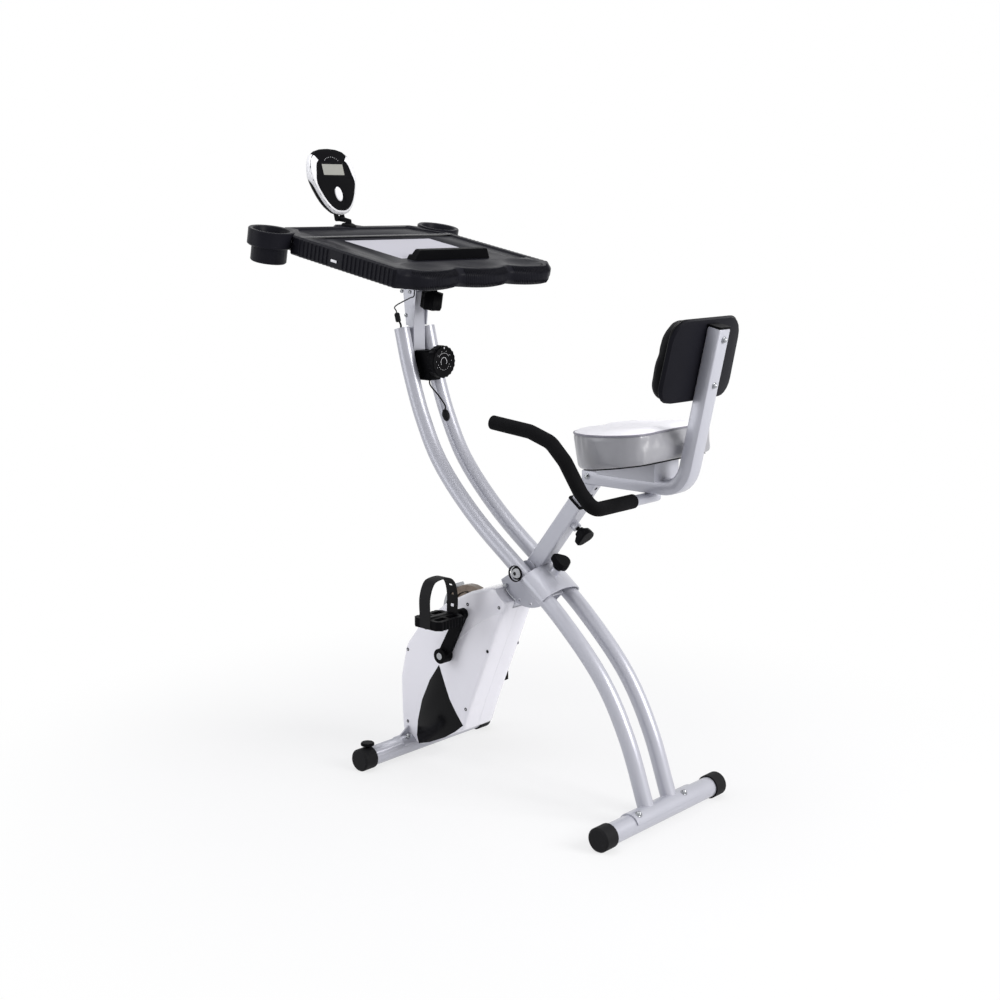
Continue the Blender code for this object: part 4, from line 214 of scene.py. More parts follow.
def round_box(half, low, high, radius, steps):
    """Outline of an upright box with round corners, from its half width and its two heights."""
    return rounded([(-half, low), (half, low), (half, high), (-half, high)], radius, steps)


def ring_of(radius, degrees):
    """Points on a circle at some angles."""
    turns = [math.radians(angle) for angle in degrees]
    return [(radius * math.cos(turn), radius * math.sin(turn)) for turn in turns]


def tube_course(sign, steps):
    """Centreline of one of the two frame tubes, from its mouth to the rear foot."""
    return smooth_course(
        [(PIVOT.x - ahead, sign * TUBE_SIDE, PIVOT.z + height) for ahead, height in TUBE_COURSE], steps)


def aim(start, direction):
    """Frame at start whose Z runs along a direction."""
    axis = Vector(direction).normalized()
    return Matrix.Translation(start) @ axis.to_track_quat("Z", "Y").to_matrix().to_4x4()


def weld(shape, distance=0.000002):
    """Join the points of a shape that lie together."""
    bmesh.ops.remove_doubles(shape, verts=shape.verts[:], dist=distance)


def bevelled(shape, edges, offset, segments):
    """Round some edges of a shape."""
    bmesh.ops.bevel(
        shape, geom=edges, offset=offset, offset_type="OFFSET", segments=segments, profile=0.5,
        affect="EDGES", material=-1, clamp_overlap=True)


def smoothed(shape):
    """Smooth all points of a shape once."""
    bmesh.ops.smooth_vert(
        shape, verts=shape.verts[:], factor=0.5, use_axis_x=True, use_axis_y=True, use_axis_z=True)


def plate(outline, depth, matrix, edge=0.0):
    """Plate of an outline in local XY, as deep as depth along local Z, its top edge softened."""
    shape = bmesh.new()
    face = shape.faces.new([shape.verts.new((x, y, 0)) for x, y in outline])
    pushed = bmesh.ops.extrude_face_region(shape, geom=[face])["geom"]
    moved = [item for item in pushed if isinstance(item, bmesh.types.BMVert)]
    bmesh.ops.translate(shape, vec=(0, 0, depth), verts=moved)
    if edge:
        rim = [item for item in shape.edges if all(abs(v.co.z - depth) < 1e-7 for v in item.verts)]
        bevelled(shape, rim, edge, 2)
    bmesh.ops.transform(shape, matrix=matrix, verts=shape.verts[:])
    return shape


def turned(profile, matrix, steps):
    """Profile of (radius, height) turned about local Z."""
    shape = bmesh.new()
    points = [shape.verts.new((radius, 0, height)) for radius, height in profile]
    edges = [shape.edges.new(pair) for pair in zip(points, points[1:])]
    bmesh.ops.spin(
        shape, geom=points + edges, axis=(0, 0, 1), cent=(0, 0, 0),
        angle=math.tau, steps=steps, use_merge=True, use_duplicate=False)
    weld(shape)
    bmesh.ops.transform(shape, matrix=matrix, verts=shape.verts[:])
    return shape


def disc(radius, matrix, steps, top=None, foot=0.0):
    """Thin disc on local Z, its top narrower where a radius is given for it."""
    return turned([(0, foot), (radius, foot), (top or radius, 0.0002), (0, 0.0002)], matrix, steps)


def shape_of(mesh):
    """Shape of a mesh."""
    shape = bmesh.new()
    shape.from_mesh(mesh)
    return shape


def mesh_of(name, shape):
    """Mesh of a shape, which is used up."""
    mesh = bpy.data.meshes.new(name)
    shape.to_mesh(mesh)
    shape.free()
    return mesh


def linked(name, data):
    """Object of some data, in the scene."""
    made = bpy.data.objects.new(name, data)
    bpy.context.scene.collection.objects.link(made)
    return made


def curve_along(name, course, radius, resolution, closed=False):
    """Curve along a course with a round section, closed or capped at both ends."""
    curve = bpy.data.curves.new(name, "CURVE")
    curve.dimensions = "3D"
    curve.bevel_depth = radius
    curve.bevel_resolution = resolution
    curve.use_fill_caps = not closed
    spline = curve.splines.new("POLY")
    spline.use_cyclic_u = closed
    spline.points.add(len(course) - 1)
    for point, target in zip(spline.points, course):
        point.co = (*target, 1)
    return curve


def swept(course, radius, resolution, closed=False):
    """Round section carried along a course."""
    carrier = bpy.data.objects.new("course", curve_along("course", course, radius, resolution, closed))
    mesh = bpy.data.meshes.new_from_object(carrier)
    shape = shape_of(mesh)
    bpy.data.objects.remove(carrier)
    bpy.data.meshes.remove(mesh)
    weld(shape)
    return shape


def solidified(shape, thickness):
    """Give a sheet a thickness."""
    bmesh.ops.recalc_face_normals(shape, faces=shape.faces[:])
    if thickness:
        bmesh.ops.solidify(shape, geom=shape.faces[:], thickness=thickness)
    return shape


def ribbon(left, right, steps, thickness):
    """Strip between two courses of equal length, with a thickness."""
    shape = bmesh.new()
    sides = []
    for course in (left, right):
        points = [shape.verts.new(point) for point in course]
        sides += [shape.edges.new(pair) for pair in zip(points, points[1:])]
    made = bmesh.ops.bridge_loops(shape, edges=sides)
    if steps > 1:
        bmesh.ops.subdivide_edges(shape, edges=made["edges"], cuts=steps - 1, use_grid_fill=True)
    return solidified(shape, thickness)


def grid_sheet(rows, thickness):
    """Sheet over rows of points, with a thickness."""
    shape = bmesh.new()
    verts = [[shape.verts.new(point) for point in row] for row in rows]
    for row, following in zip(verts, verts[1:]):
        for index in range(len(row) - 1):
            shape.faces.new((row[index], row[index + 1], following[index + 1], following[index]))
    return solidified(shape, thickness)


def merged(shape, other):
    """Add one shape's faces to another."""
    mesh = mesh_of("part", other)
    shape.from_mesh(mesh)
    bpy.data.meshes.remove(mesh)
    return shape


def gathered(shapes):
    """One shape of several."""
    whole = bmesh.new()
    for shape in shapes:
        merged(whole, shape)
    return whole


def riding(name, data, body, replaces=()):
    """Piece that rides on a body and the solids that it stands in for."""
    piece = linked(name, data)
    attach(piece, body)
    if replaces:
        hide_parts(*replaces)
    return piece


def finished(name, shape, material, body, angle=35.0, replaces=()):
    """Turn a shape in world places into a piece that rides on a body."""
    weld(shape)
    bmesh.ops.recalc_face_normals(shape, faces=shape.faces[:])
    mesh = mesh_of(name, shape)
    mesh.shade_smooth()
    mesh.set_sharp_from_angle(angle=math.radians(angle))
    mesh.materials.append(bpy.data.materials[material])
    return riding(name, mesh, body, replaces)


def solid_copy(node_name, flat_faces_joined=True):
    """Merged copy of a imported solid's mesh."""
    shape = shape_of(frame["nodes"][node_name].data)
    weld(shape, 0.00001)
    if flat_faces_joined:
        bmesh.ops.dissolve_limit(
            shape, angle_limit=math.radians(0.2), verts=shape.verts[:], edges=shape.edges[:])
    return shape


def body_of(node_name):
    """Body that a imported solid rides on."""
    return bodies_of(frame["nodes"][node_name])[0]


def slot_of(node_name):
    """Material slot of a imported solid."""
    return next(row["material_slot"] for row in frame["record"]["subparts"] if row["node"] == node_name)


def surface_of(piece):
    """Search tree of a piece's faces."""
    return BVHTree.FromObject(piece, bpy.context.evaluated_depsgraph_get())


def struck(tree, start, direction, what):
    """Point where a ray meets a surface."""
    hit = tree.ray_cast(start, direction)[0]
    if hit is None:
        raise RuntimeError("no surface is met for " + what)
    return hit


def ring_on(piece, matrix, height, count, lift):
    """Closed course round a piece at a height of a frame, lifted off the piece's surface."""
    tree = surface_of(piece)
    centre = matrix @ Vector((0, 0, height))
    reach = 0.4
    course = []
    for step in range(count):
        angle = math.tau * step / count
        out = (matrix.to_3x3() @ Vector((math.cos(angle), math.sin(angle), 0))).normalized()
        course.append(struck(tree, centre + out * reach, -out, "a ring on " + piece.name) + out * lift)
    return course


def screw(matrix, radius, height):
    """Domed screw head with a socket, on local Z."""
    return turned([
        (0, -0.001), (radius, -0.001), (radius, height * 0.25), (radius * 0.86, height * 0.72),
        (radius * 0.52, height), (radius * 0.42, height), (radius * 0.38, height * 0.35),
        (0, height * 0.30)], matrix, 20)


def dome_nut(matrix, radius):
    """Six-sided nut with a dome and a washer, on local Z."""
    washer = turned(
        [(0, -0.001), (radius * 1.35, -0.001), (radius * 1.35, 0.0010), (radius * 1.25, 0.0014),
         (0, 0.0014)], matrix, 24)
    hexagon = ring_of(radius, range(0, 360, 60))
    nut = merged(washer, plate(hexagon, radius * 0.7, lifted(matrix, 0.0012), radius * 0.10))
    dome = [(radius * 0.80, 0.001)]
    for x, y in ring_of(radius, range(18, 91, 18)):
        dome.append((0.80 * x, radius * 0.7 + 0.62 * y))
    dome[-1] = (0, dome[-1][1])
    return merged(nut, turned(dome, matrix, 20))


# Finishes

def feed(tree, target, links):
    """Link sockets to a node's inputs."""
    for name, source in links.items():
        tree.links.new(source, target.inputs[name])


def node(tree, kind, values=None, links=None, **settings):
    """Add one shader node with its settings, input values and incoming links."""
    made = tree.nodes.new(kind)
    for name, value in settings.items():
        setattr(made, name, value)
    for name, value in (values or {}).items():
        made.inputs[name].default_value = value
    feed(tree, made, links or {})
    return made


def new_finish(name, roughness, metallic=0.0, coat=0.0, sheen=0.0, specular=0.5):
    """Start a material: its tree, its shader with the constants, and the place on the piece."""
    material = bpy.data.materials.new(name)
    material.use_nodes = True
    tree = material.node_tree
    shader = tree.nodes["Principled BSDF"]
    for socket, value in (
            ("Roughness", roughness), ("Metallic", metallic), ("Coat Weight", coat),
            ("Coat Roughness", 0.12), ("Sheen Weight", sheen), ("Specular IOR Level", specular)):
        shader.inputs[socket].default_value = value
    return tree, shader, node(tree, "ShaderNodeTexCoord").outputs["Object"]


def tinted(colour, share):
    """Colour made lighter or darker by a share."""
    return tuple(min(1.0, channel * share) for channel in colour)


def mixed_colour(tree, factor, colour, dark, light):
    """Colour between two shares of itself by a factor socket."""
    ramp = node(tree, "ShaderNodeValToRGB", None, {"Fac": factor})
    for element, share, position in zip(ramp.color_ramp.elements, (dark, light), (0.3, 0.7)):
        element.color = (*tinted(colour, share), 1)
        element.position = position
    return ramp.outputs["Color"]


def spread(tree, factor, low, high):
    """Value between two limits by a factor socket."""
    limits = {"From Min": 0.3, "From Max": 0.7, "To Min": low, "To Max": high}
    return node(tree, "ShaderNodeMapRange", limits, {"Value": factor}).outputs["Result"]


def bumped(tree, shader, height, distance, strength=1.0, softened=True):
    """Bump from a height socket, over softened edges."""
    bump = node(tree, "ShaderNodeBump", {"Strength": strength, "Distance": distance}, {"Height": height})
    if softened:
        edge = node(tree, "ShaderNodeBevel", {"Radius": 0.0007}, samples=4)
        feed(tree, bump, {"Normal": edge.outputs["Normal"]})
    feed(tree, shader, {"Normal": bump.outputs["Normal"]})


def grained(
        name, colour, roughness, scale, depth, shade=0.05, gloss=0.05, cells=False, softened=True, **look):
    """Finish with a fine grain, and with soft changes of colour and gloss over the piece."""
    tree, shader, where = new_finish(name, roughness, **look)
    broad = node(
        tree, "ShaderNodeTexNoise", {"Scale": 9.0, "Detail": 3.0, "Roughness": 0.6},
        {"Vector": where}).outputs["Fac"]
    if cells:
        fine = node(
            tree, "ShaderNodeTexVoronoi", {"Scale": scale}, {"Vector": where}, feature="DISTANCE_TO_EDGE")
    else:
        fine = node(
            tree, "ShaderNodeTexNoise", {"Scale": scale, "Detail": 2.0, "Roughness": 0.55},
            {"Vector": where})
    height = fine.outputs[0]
    scaled = node(tree, "ShaderNodeMath", {1: 0.72}, {0: broad}, operation="MULTIPLY")
    mixed = node(
        tree, "ShaderNodeMath", {1: 0.35}, {0: height, 2: scaled.outputs[0]}, operation="MULTIPLY_ADD")
    feed(tree, shader, {
        "Base Color": mixed_colour(tree, mixed.outputs[0], colour, 1 - shade, 1 + shade),
        "Roughness": spread(tree, broad, roughness - gloss, roughness + gloss)})
    bumped(tree, shader, height, depth, softened=softened)


def rubbed_steel(name, colour, roughness, scale=(60.0, 4000.0, 60.0)):
    """Metal with fine turned or drawn lines."""
    tree, shader, where = new_finish(name, roughness, metallic=1.0)
    turn = node(tree, "ShaderNodeMapping", {"Scale": scale}, {"Vector": where})
    lines = node(
        tree, "ShaderNodeTexNoise", {"Scale": 1.0, "Detail": 3.0},
        {"Vector": turn.outputs["Vector"]}).outputs["Fac"]
    feed(tree, shader, {
        "Base Color": mixed_colour(tree, lines, colour, 0.86, 1.08),
        "Roughness": spread(tree, lines, roughness * 0.7, roughness * 1.4)})
    bumped(tree, shader, lines, 0.00002)


def seat_finish(name, top, band, level):
    """Leatherette with a pale top and a glossier grey band under the seam's level."""
    tree, shader, where = new_finish(name, 0.4, sheen=0.12)
    inverse = SEAM.inverted()
    local = node(
        tree, "ShaderNodeMapping", {"Location": inverse.translation, "Rotation": inverse.to_euler()},
        {"Vector": where})
    split = node(tree, "ShaderNodeSeparateXYZ", None, {"Vector": local.outputs["Vector"]})
    above = node(
        tree, "ShaderNodeMapRange", {"From Min": level - 0.0004, "From Max": level + 0.0004},
        {"Value": split.outputs["Z"]}).outputs["Result"]
    grain = node(
        tree, "ShaderNodeTexVoronoi", {"Scale": 420.0, "Randomness": 1.0}, {"Vector": where},
        feature="DISTANCE_TO_EDGE")
    broad = node(tree, "ShaderNodeTexNoise", {"Scale": 14.0, "Detail": 4.0}, {"Vector": where})
    below, over = (mixed_colour(tree, broad.outputs["Fac"], colour, 0.95, 1.04) for colour in (band, top))
    blend = node(tree, "ShaderNodeMix", None, {}, data_type="RGBA")
    feed(tree, blend, {"Factor": above, "A": below, "B": over})
    gloss = node(tree, "ShaderNodeMapRange", {"To Min": 0.30, "To Max": 0.46}, {"Value": above})
    feed(tree, shader, {"Base Color": blend.outputs["Result"], "Roughness": gloss.outputs["Result"]})
    bumped(tree, shader, grain.outputs["Distance"], 0.00025, 0.5)


def woven(name, colour):
    """Tight weave for elastic webbing."""
    tree, shader, where = new_finish(name, 0.8, sheen=0.3)
    waves = [
        node(tree, "ShaderNodeTexWave", {"Scale": scale, "Distortion": 0.6}, {"Vector": where},
             bands_direction=direction).outputs["Fac"]
        for direction, scale in (("X", 380.0), ("Y", 300.0))]
    both = node(
        tree, "ShaderNodeMath", None, {0: waves[0], 1: waves[1]}, operation="MULTIPLY").outputs[0]
    feed(tree, shader, {"Base Color": mixed_colour(tree, both, colour, 0.6, 1.8)})
    bumped(tree, shader, both, 0.0003)


def colour_setting(name, description, default):
    """Setting of one colour."""
    return bpy.props.FloatVectorProperty(
        name=name, description=description, default=default, subtype="COLOR", min=0, max=1)


def length_setting(name, description, default, low, high):
    """Setting of one length in metres."""
    return bpy.props.FloatProperty(
        name=name, description=description, default=default, min=low, max=high, unit="LENGTH")


class DeskBikeColours(bpy.types.PropertyGroup):
    """Colours of the finishes."""

    paint: colour_setting(
        "Frame paint", "Silver-white powder coat of both frames", (0.44, 0.445, 0.495))
    cover: colour_setting("Drive covers", "Glossy moulding round the drive", (0.84, 0.83, 0.88))
    moulding: colour_setting("Black mouldings", "Knobs, pedals and the dial", (0.0035, 0.0035, 0.0042))
    desk: colour_setting("Desk", "Charcoal moulding of the desk", (0.0095, 0.0095, 0.0130))
    inlay: colour_setting("Desk inlay", "Pale mat let into the desk", (0.40, 0.395, 0.44))
    seat_top: colour_setting("Seat top", "Pale leatherette on top of the seat", (0.80, 0.79, 0.83))
    seat_band: colour_setting("Seat side", "Grey leatherette round the seat", (0.28, 0.28, 0.30))


class DeskBikeSizes(bpy.types.PropertyGroup):
    """Sizes of the added details."""

    piping: length_setting("Piping", "Radius of the seat's piping", 0.0024, 0.0005, 0.005)
    seam_height: length_setting(
        "Seam height", "Height of the seat's seam above its base", 0.0755, 0.03, 0.08)
    swell: length_setting("Swell", "Furthest that the padding swells", 0.006, 0.0, 0.02)
    cover_screw: length_setting(
        "Cover screws", "Radius of the sunk screws in the covers", 0.0044, 0.002, 0.008)
    grip_radius: length_setting("Foam grip", "Radius of the foam grip", 0.016, 0.013, 0.02)
    lens: bpy.props.FloatProperty(
        name="Lens", description="Focal length of the camera, in millimetres", default=56.3, min=20,
        max=200)


FINISH_OF_SLOT = {
    "frame_paint": "Frame paint", "cover_gloss": "Cover gloss", "black_plastic": "Black moulding",
    "desk_plastic": "Desk moulding", "inlay_grey": "Inlay", "foam": "Foam",
    "seat_leather": "Seat leather", "back_leather": "Back leather", "steel": "Chrome",
    "rubber": "Rubber", "screen": "Display", "white_plastic": "White moulding",
    "elastic": "Elastic weave",
}
FINISH_OF_NODE = {"flywheel": "Wheel steel", "drive_belt": "Rubber"}


class DESKBIKE_OT_finishes(bpy.types.Operator):
    """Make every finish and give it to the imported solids"""

    bl_idname = "deskbike.finishes"
    bl_label = "Finishes"

    def execute(self, context):
        c = context.scene.desk_bike_colours
        paint = {"metallic": 0.25, "coat": 0.25}
        grained("Frame paint", c.paint, 0.34, 900, 0.000004, 0.02, 0.04, **paint)
        grained("Tube paint", c.paint, 0.34, 4000, 0.0000002, 0.008, 0.02, softened=False, **paint)
        grained("Cover gloss", c.cover, 0.22, 300, 0.000015, 0.012, 0.05, coat=0.4)
        grained("Black moulding", c.moulding, 0.45, 1300, 0.00008, 0.25, 0.08, specular=0.03)
        grained("Gloss black", c.moulding, 0.20, 600, 0.00002, 0.10, 0.05, specular=0.12)
        grained("Desk moulding", c.desk, 0.36, 1100, 0.00007, 0.14, 0.06, specular=0.05)
        grained("Inlay", c.inlay, 0.5, 1700, 0.00005, 0.03, 0.05, specular=0.2)
        grained("Foam", (0.007, 0.007, 0.008), 0.93, 700, 0.00045, 0.5, 0.04, True, specular=0.08)
        grained("Back leather", (0.006, 0.006, 0.007), 0.5, 380, 0.0003, 0.2, 0.07, True, specular=0.07)
        grained("Back panel", (0.007, 0.007, 0.010), 0.42, 900, 0.0001, 0.2, 0.06, specular=0.05)
        grained("Rubber", (0.008, 0.008, 0.009), 0.66, 900, 0.0001, 0.3, 0.08, specular=0.12)
        grained("White moulding", (0.78, 0.78, 0.80), 0.28, 700, 0.00002, 0.02, coat=0.2)
        grained("Display", (0.30, 0.30, 0.27), 0.24, 90, 0.00001, 0.04)
        grained("Mark white", (0.62, 0.62, 0.64), 0.5, 500, 0.00002)
        # Near-black finish of painted shade, for the dark insides of holes, sockets and tube mouths
        grained("Hollow", (0.02, 0.02, 0.022), 0.8, 300, 0.00005, 0.2, specular=0.1)
        grained("Piping", (0.17, 0.165, 0.20), 0.38, 500, 0.0001, 0.06)
        rubbed_steel("Chrome", (0.36, 0.37, 0.39), 0.18, (300.0, 300.0, 300.0))
        rubbed_steel("Wheel steel", (0.16, 0.13, 0.11), 0.30)
        seat_finish("Seat leather", c.seat_top, c.seat_band, context.scene.desk_bike_sizes.seam_height)
        woven("Elastic weave", (0.014, 0.014, 0.016))
        for name, solid in frame["nodes"].items():
            finish = FINISH_OF_NODE.get(name, FINISH_OF_SLOT[slot_of(name)])
            for entry in solid.material_slots:
                entry.material = bpy.data.materials[finish]
        return {"FINISHED"}


def inward_of_lobe(point):
    """Direction in the desk's plane from its rider's edge into the desk."""
    index = max(-1, min(1, round(point.y / LOBE_PITCH)))
    if abs(point.y) > LOBE_PITCH:
        centre = Vector((-0.04, index * LOBE_PITCH * 0.98, 0))
    else:
        centre = Vector((LOBE_REACH - LOBE_RADIUS, index * LOBE_PITCH, 0))
    return (centre - Vector((point.x, point.y, 0))).normalized()


def rounder_corner(point):
    """Place of a point of the desk once its two corners at the rider's edge are well rounded."""
    ahead = point.x - CORNER_X
    across = abs(point.y) - CORNER_Y
    if ahead <= 0 or across <= 0:
        return point
    share = (ahead ** 6 + across ** 6) ** (1 / 6) / math.hypot(ahead, across)
    side = math.copysign(CORNER_Y + across * share, point.y)
    return Vector((CORNER_X + ahead * share, side, point.z))


def round_corners(shape):
    """Round the desk's two corners at the rider's edge, after cutting its faces there into strips."""
    for step in range(CORNER_STRIPS):
        offset = CORNER_RADIUS * step / CORNER_STRIPS
        cuts = [(Vector((CORNER_X + offset, 0, 0)), X_AXIS)]
        cuts += [(Vector((0, sign * (CORNER_Y + offset), 0)), Y_AXIS * sign) for sign in (-1, 1)]
        for spot, normal in cuts:
            bmesh.ops.bisect_plane(
                shape, geom=shape.verts[:] + shape.edges[:] + shape.faces[:], dist=0.00001,
                plane_co=DESK @ spot, plane_no=DESK.to_3x3() @ normal)
    inverse = DESK.inverted()
    for vertex in shape.verts:
        vertex.co = DESK @ rounder_corner(inverse @ vertex.co)


def roll_rider_edge(shape):
    """Draw the rims of the desk's rider edge inward, so that the edge becomes a round roll."""
    inverse = DESK.inverted()
    local = {vertex: inverse @ vertex.co for vertex in shape.verts}
    moves = {}
    for edge in shape.edges:
        ends = [local[vertex] for vertex in edge.verts]
        if min(end.x for end in ends) < -0.001 or len(edge.link_faces) != 2:
            continue
        if abs(ends[0].z - ends[1].z) > 0.0004:
            continue
        slants = sorted(abs((inverse.to_3x3() @ face.normal).z) for face in edge.link_faces)
        if slants[0] > 0.9 or not (0.3 < slants[0] < 0.95 or 0.3 < slants[1] < 0.95):
            continue
        for vertex, spot in zip(edge.verts, ends):
            for level, tolerance, upward in RIM_MOVES:
                if abs(spot.z - level) < tolerance:
                    moves[vertex] = (Z_AXIS * upward if upward else inward_of_lobe(spot)) * EDGE_ROLL
                    break
    for vertex, move in moves.items():
        vertex.co = DESK @ (local[vertex] + move)
    rims = []
    for edge in shape.edges:
        first, second = edge.verts
        if first in moves and second in moves:
            same_way = abs(moves[first].z - moves[second].z) < 0.0001
            if same_way and abs(local[first].z - local[second].z) < 0.0004:
                rims.append(edge)
    bevelled(shape, rims, 0.0055, 3)


# Solids that other steps make again, or that stay as they are
LEFT_ALONE = {
    "left_frame_tube", "right_frame_tube", "handle_bar", "handle_grip", "seat_cushion", "backrest_pad",
    "backrest_shell", "elastic_band", "tension_cable", "sensor_cable", "left_pedal_strap",
    "right_pedal_strap", "left_crank_arm", "right_crank_arm", "drive_belt", "desk_rail", "seat_tube",
    "mast_post", "desk_inlay", "monitor_screen",
}


class DESKBIKE_OT_smooth_solids(bpy.types.Operator):
    """Stand smooth-shaded copies in for the rigid solids that have round faces"""

    bl_idname = "deskbike.smooth_solids"
    bl_label = "Smooth solids"

    def execute(self, context):
        for name, solid in frame["nodes"].items():
            if name in LEFT_ALONE:
                continue
            shape = solid_copy(name)
            if name == "desk_top":
                roll_rider_edge(shape)
                round_corners(shape)
            material = solid.material_slots[0].material.name
            finished(name + "_skin", shape, material, body_of(name), 32, (name,))
        return {"FINISHED"}


class DESKBIKE_OT_frame_tubes(bpy.types.Operator):
    """Curved twin tubes, open at the mast end, with a dark disc of painted shade in each mouth"""

    bl_idname = "deskbike.frame_tubes"
    bl_label = "Frame tubes"

    def execute(self, context):
        for side, sign, _ in SIDES:
            course = tube_course(sign, 20)
            mouth = aim(course[0], course[0] - course[1])
            lip = [(0.0172, -0.03), (0.0172, 0.0), (TUBE_RADIUS, 0.0), (TUBE_RADIUS, -0.004)]
            shape = merged(swept(course, TUBE_RADIUS, 22), turned(lip, mouth, 40))
            finished(side + "_tube", shape, "Tube paint", "frame", 40,
                     (side + "_frame_tube",))
            # Dark disc just inside the mouth: painted shade of the tube's inside
            mouth_shade = disc(0.0170, mouth, 32, foot=-0.0001)
            finished(side + "_tube_mouth_shade", mouth_shade, "Hollow", "frame")
        return {"FINISHED"}


def remeshed(name, source):
    """Even mesh of a pad's solid, drawn in a little and smoothed once."""
    shape = solid_copy(source, False)
    bmesh.ops.triangulate(shape, faces=shape.faces[:])
    carrier = linked(name + "_start", mesh_of(name + "_start", shape))
    remesh = carrier.modifiers.new("Remesh", "REMESH")
    remesh.mode = "VOXEL"
    remesh.voxel_size = PAD_VOXEL
    graph = bpy.context.evaluated_depsgraph_get()
    even = bpy.data.meshes.new_from_object(carrier.evaluated_get(graph))
    bpy.data.objects.remove(carrier)
    work = shape_of(even)
    work.normal_update()
    for vertex in work.verts:
        vertex.co -= vertex.normal * PAD_INSET
    smoothed(work)
    work.to_mesh(even)
    work.free()
    return even


def settled(name, source, cap, fixed_below, matrix):
    """Swollen copy of a pad: remeshed, blown up as cloth, and held to a furthest movement."""
    even = remeshed(name, source)
    pad = linked(name + "_cloth", even)
    held = pad.vertex_groups.new(name="held")
    inverse = matrix.inverted()
    held.add([v.index for v in even.vertices if (inverse @ v.co).z < fixed_below], 1.0, "REPLACE")
    cloth = pad.modifiers.new("Cloth", "CLOTH")
    for name_of_value, value in {
            "vertex_group_mass": "held", "use_pressure": True, "uniform_pressure_force": 4.0, "quality": 6,
            "tension_stiffness": 30, "compression_stiffness": 30, "bending_stiffness": 4.0}.items():
        setattr(cloth.settings, name_of_value, value)
    cloth.settings.effector_weights.gravity = 0.0
    cloth.point_cache.frame_start = 1
    cloth.point_cache.frame_end = CLOTH_FRAMES
    scene = bpy.context.scene
    before = [v.co.copy() for v in even.vertices]
    for number in range(1, CLOTH_FRAMES + 1):
        scene.frame_set(number)
    graph = bpy.context.evaluated_depsgraph_get()
    blown = bpy.data.meshes.new_from_object(pad.evaluated_get(graph))
    for vertex, origin in zip(blown.vertices, before):
        move = vertex.co - origin
        if move.length > cap:
            vertex.co = origin + move.normalized() * cap
    bpy.data.objects.remove(pad)
    scene.frame_set(1)
    calm = shape_of(blown)
    for _ in range(3):
        smoothed(calm)
    calm.to_mesh(blown)
    calm.free()
    return blown


def pad_piece(name, mesh, material, node_name):
    """Padded piece of the seat from a settled mesh, with one subdivision."""
    mesh.materials.clear()
    mesh.materials.append(bpy.data.materials[material])
    mesh.shade_smooth()
    piece = riding(name, mesh, "seat", (node_name,))
    fine = piece.modifiers.new("Subdivision", "SUBSURF")
    fine.levels = 1
    fine.render_levels = 1
    return piece


def even_depth(mesh, matrix, back, profile):
    """Bring the furthest depth of a pad at each height to a profile of (height, depth)."""
    inverse = matrix.inverted()
    step = 0.008
    local = [inverse @ vertex.co for vertex in mesh.vertices]
    low = min(point.y for point in local)
    count = int((max(point.y for point in local) - low) / step) + 1
    deepest = [max([point.z for point in local if abs(point.y - low - step * k) < step] or [back])
               for k in range(count + 1)]
    for _ in range(2):
        near = [deepest[max(0, k - 1):k + 2] for k in range(count + 1)]
        deepest = [sum(values) / len(values) for values in near]
    for vertex, point in zip(mesh.vertices, local):
        if point.z <= back:
            continue
        share = min((point.y - low) / step, count - 0.001)
        k = int(share)
        now = deepest[k] + (deepest[k + 1] - deepest[k]) * (share - k)
        wanted = profile[-1][1]
        for (y0, d0), (y1, d1) in zip(profile, profile[1:]):
            if point.y <= y1:
                wanted = d0 + (d1 - d0) * max(0.0, (point.y - y0) / (y1 - y0))
                break
        point.z = back + (point.z - back) * (wanted - back) / max(now - back, 0.001)
        vertex.co = matrix @ point


def shape_crown(mesh, seam_height):
    """Draw the seat's crown down to a share of its height, and stretch the band up to the seam."""
    inverse = SEAM.inverted()
    edge = seam_height - BAND_STRETCH
    for vertex in mesh.vertices:
        local = inverse @ vertex.co
        if local.z > edge:
            local.z = seam_height + (local.z - edge) * CROWN_SHARE
        elif local.z > BAND_FOOT:
            local.z += BAND_STRETCH * (local.z - BAND_FOOT) / (edge - BAND_FOOT)
        vertex.co = SEAM @ local


def draw_in(mesh, matrix, height, depth, reach):
    """Draw the sides of a pad in, most at a height of a frame."""
    inverse = matrix.inverted()
    for vertex in mesh.vertices:
        local = inverse @ vertex.co
        flat = Vector((local.x, local.y, 0))
        if flat.length > 0.07:
            pull = depth * math.exp(-((local.z - height) / reach) ** 2)
            vertex.co = matrix @ (local - flat.normalized() * pull)


class DESKBIKE_OT_seat(bpy.types.Operator):
    """Padded seat with its seam, piping and grey side band"""

    bl_idname = "deskbike.seat"
    bl_label = "Seat"

    def execute(self, context):
        sizes = context.scene.desk_bike_sizes
        mesh = settled("seat_pad", "seat_cushion", sizes.swell, 0.006, SEAT)
        shape_crown(mesh, sizes.seam_height)
        draw_in(mesh, SEAM, sizes.seam_height, 0.0022, 0.0045)
        draw_in(mesh, SEAT, 0.004, 0.002, 0.006)
        seat = pad_piece("seat_pad", mesh, "Seat leather", "seat_cushion")
        piping = swept(ring_on(seat, SEAM, sizes.seam_height, 120, 0.0010), sizes.piping, 4, closed=True)
        finished("seat_piping", piping, "Piping", "seat", 60)
        inverse = SEAT.inverted()
        height, inset, thickness = 0.0035, 0.004, 0.0012
        outline = [(inverse @ point)[:2] for point in ring_on(seat, SEAT, height, 96, -inset)]
        board = plate(outline, thickness, lifted(SEAT, -0.0002), 0.0004)
        finished("seat_board", board, "Black moulding", "seat")
        return {"FINISHED"}


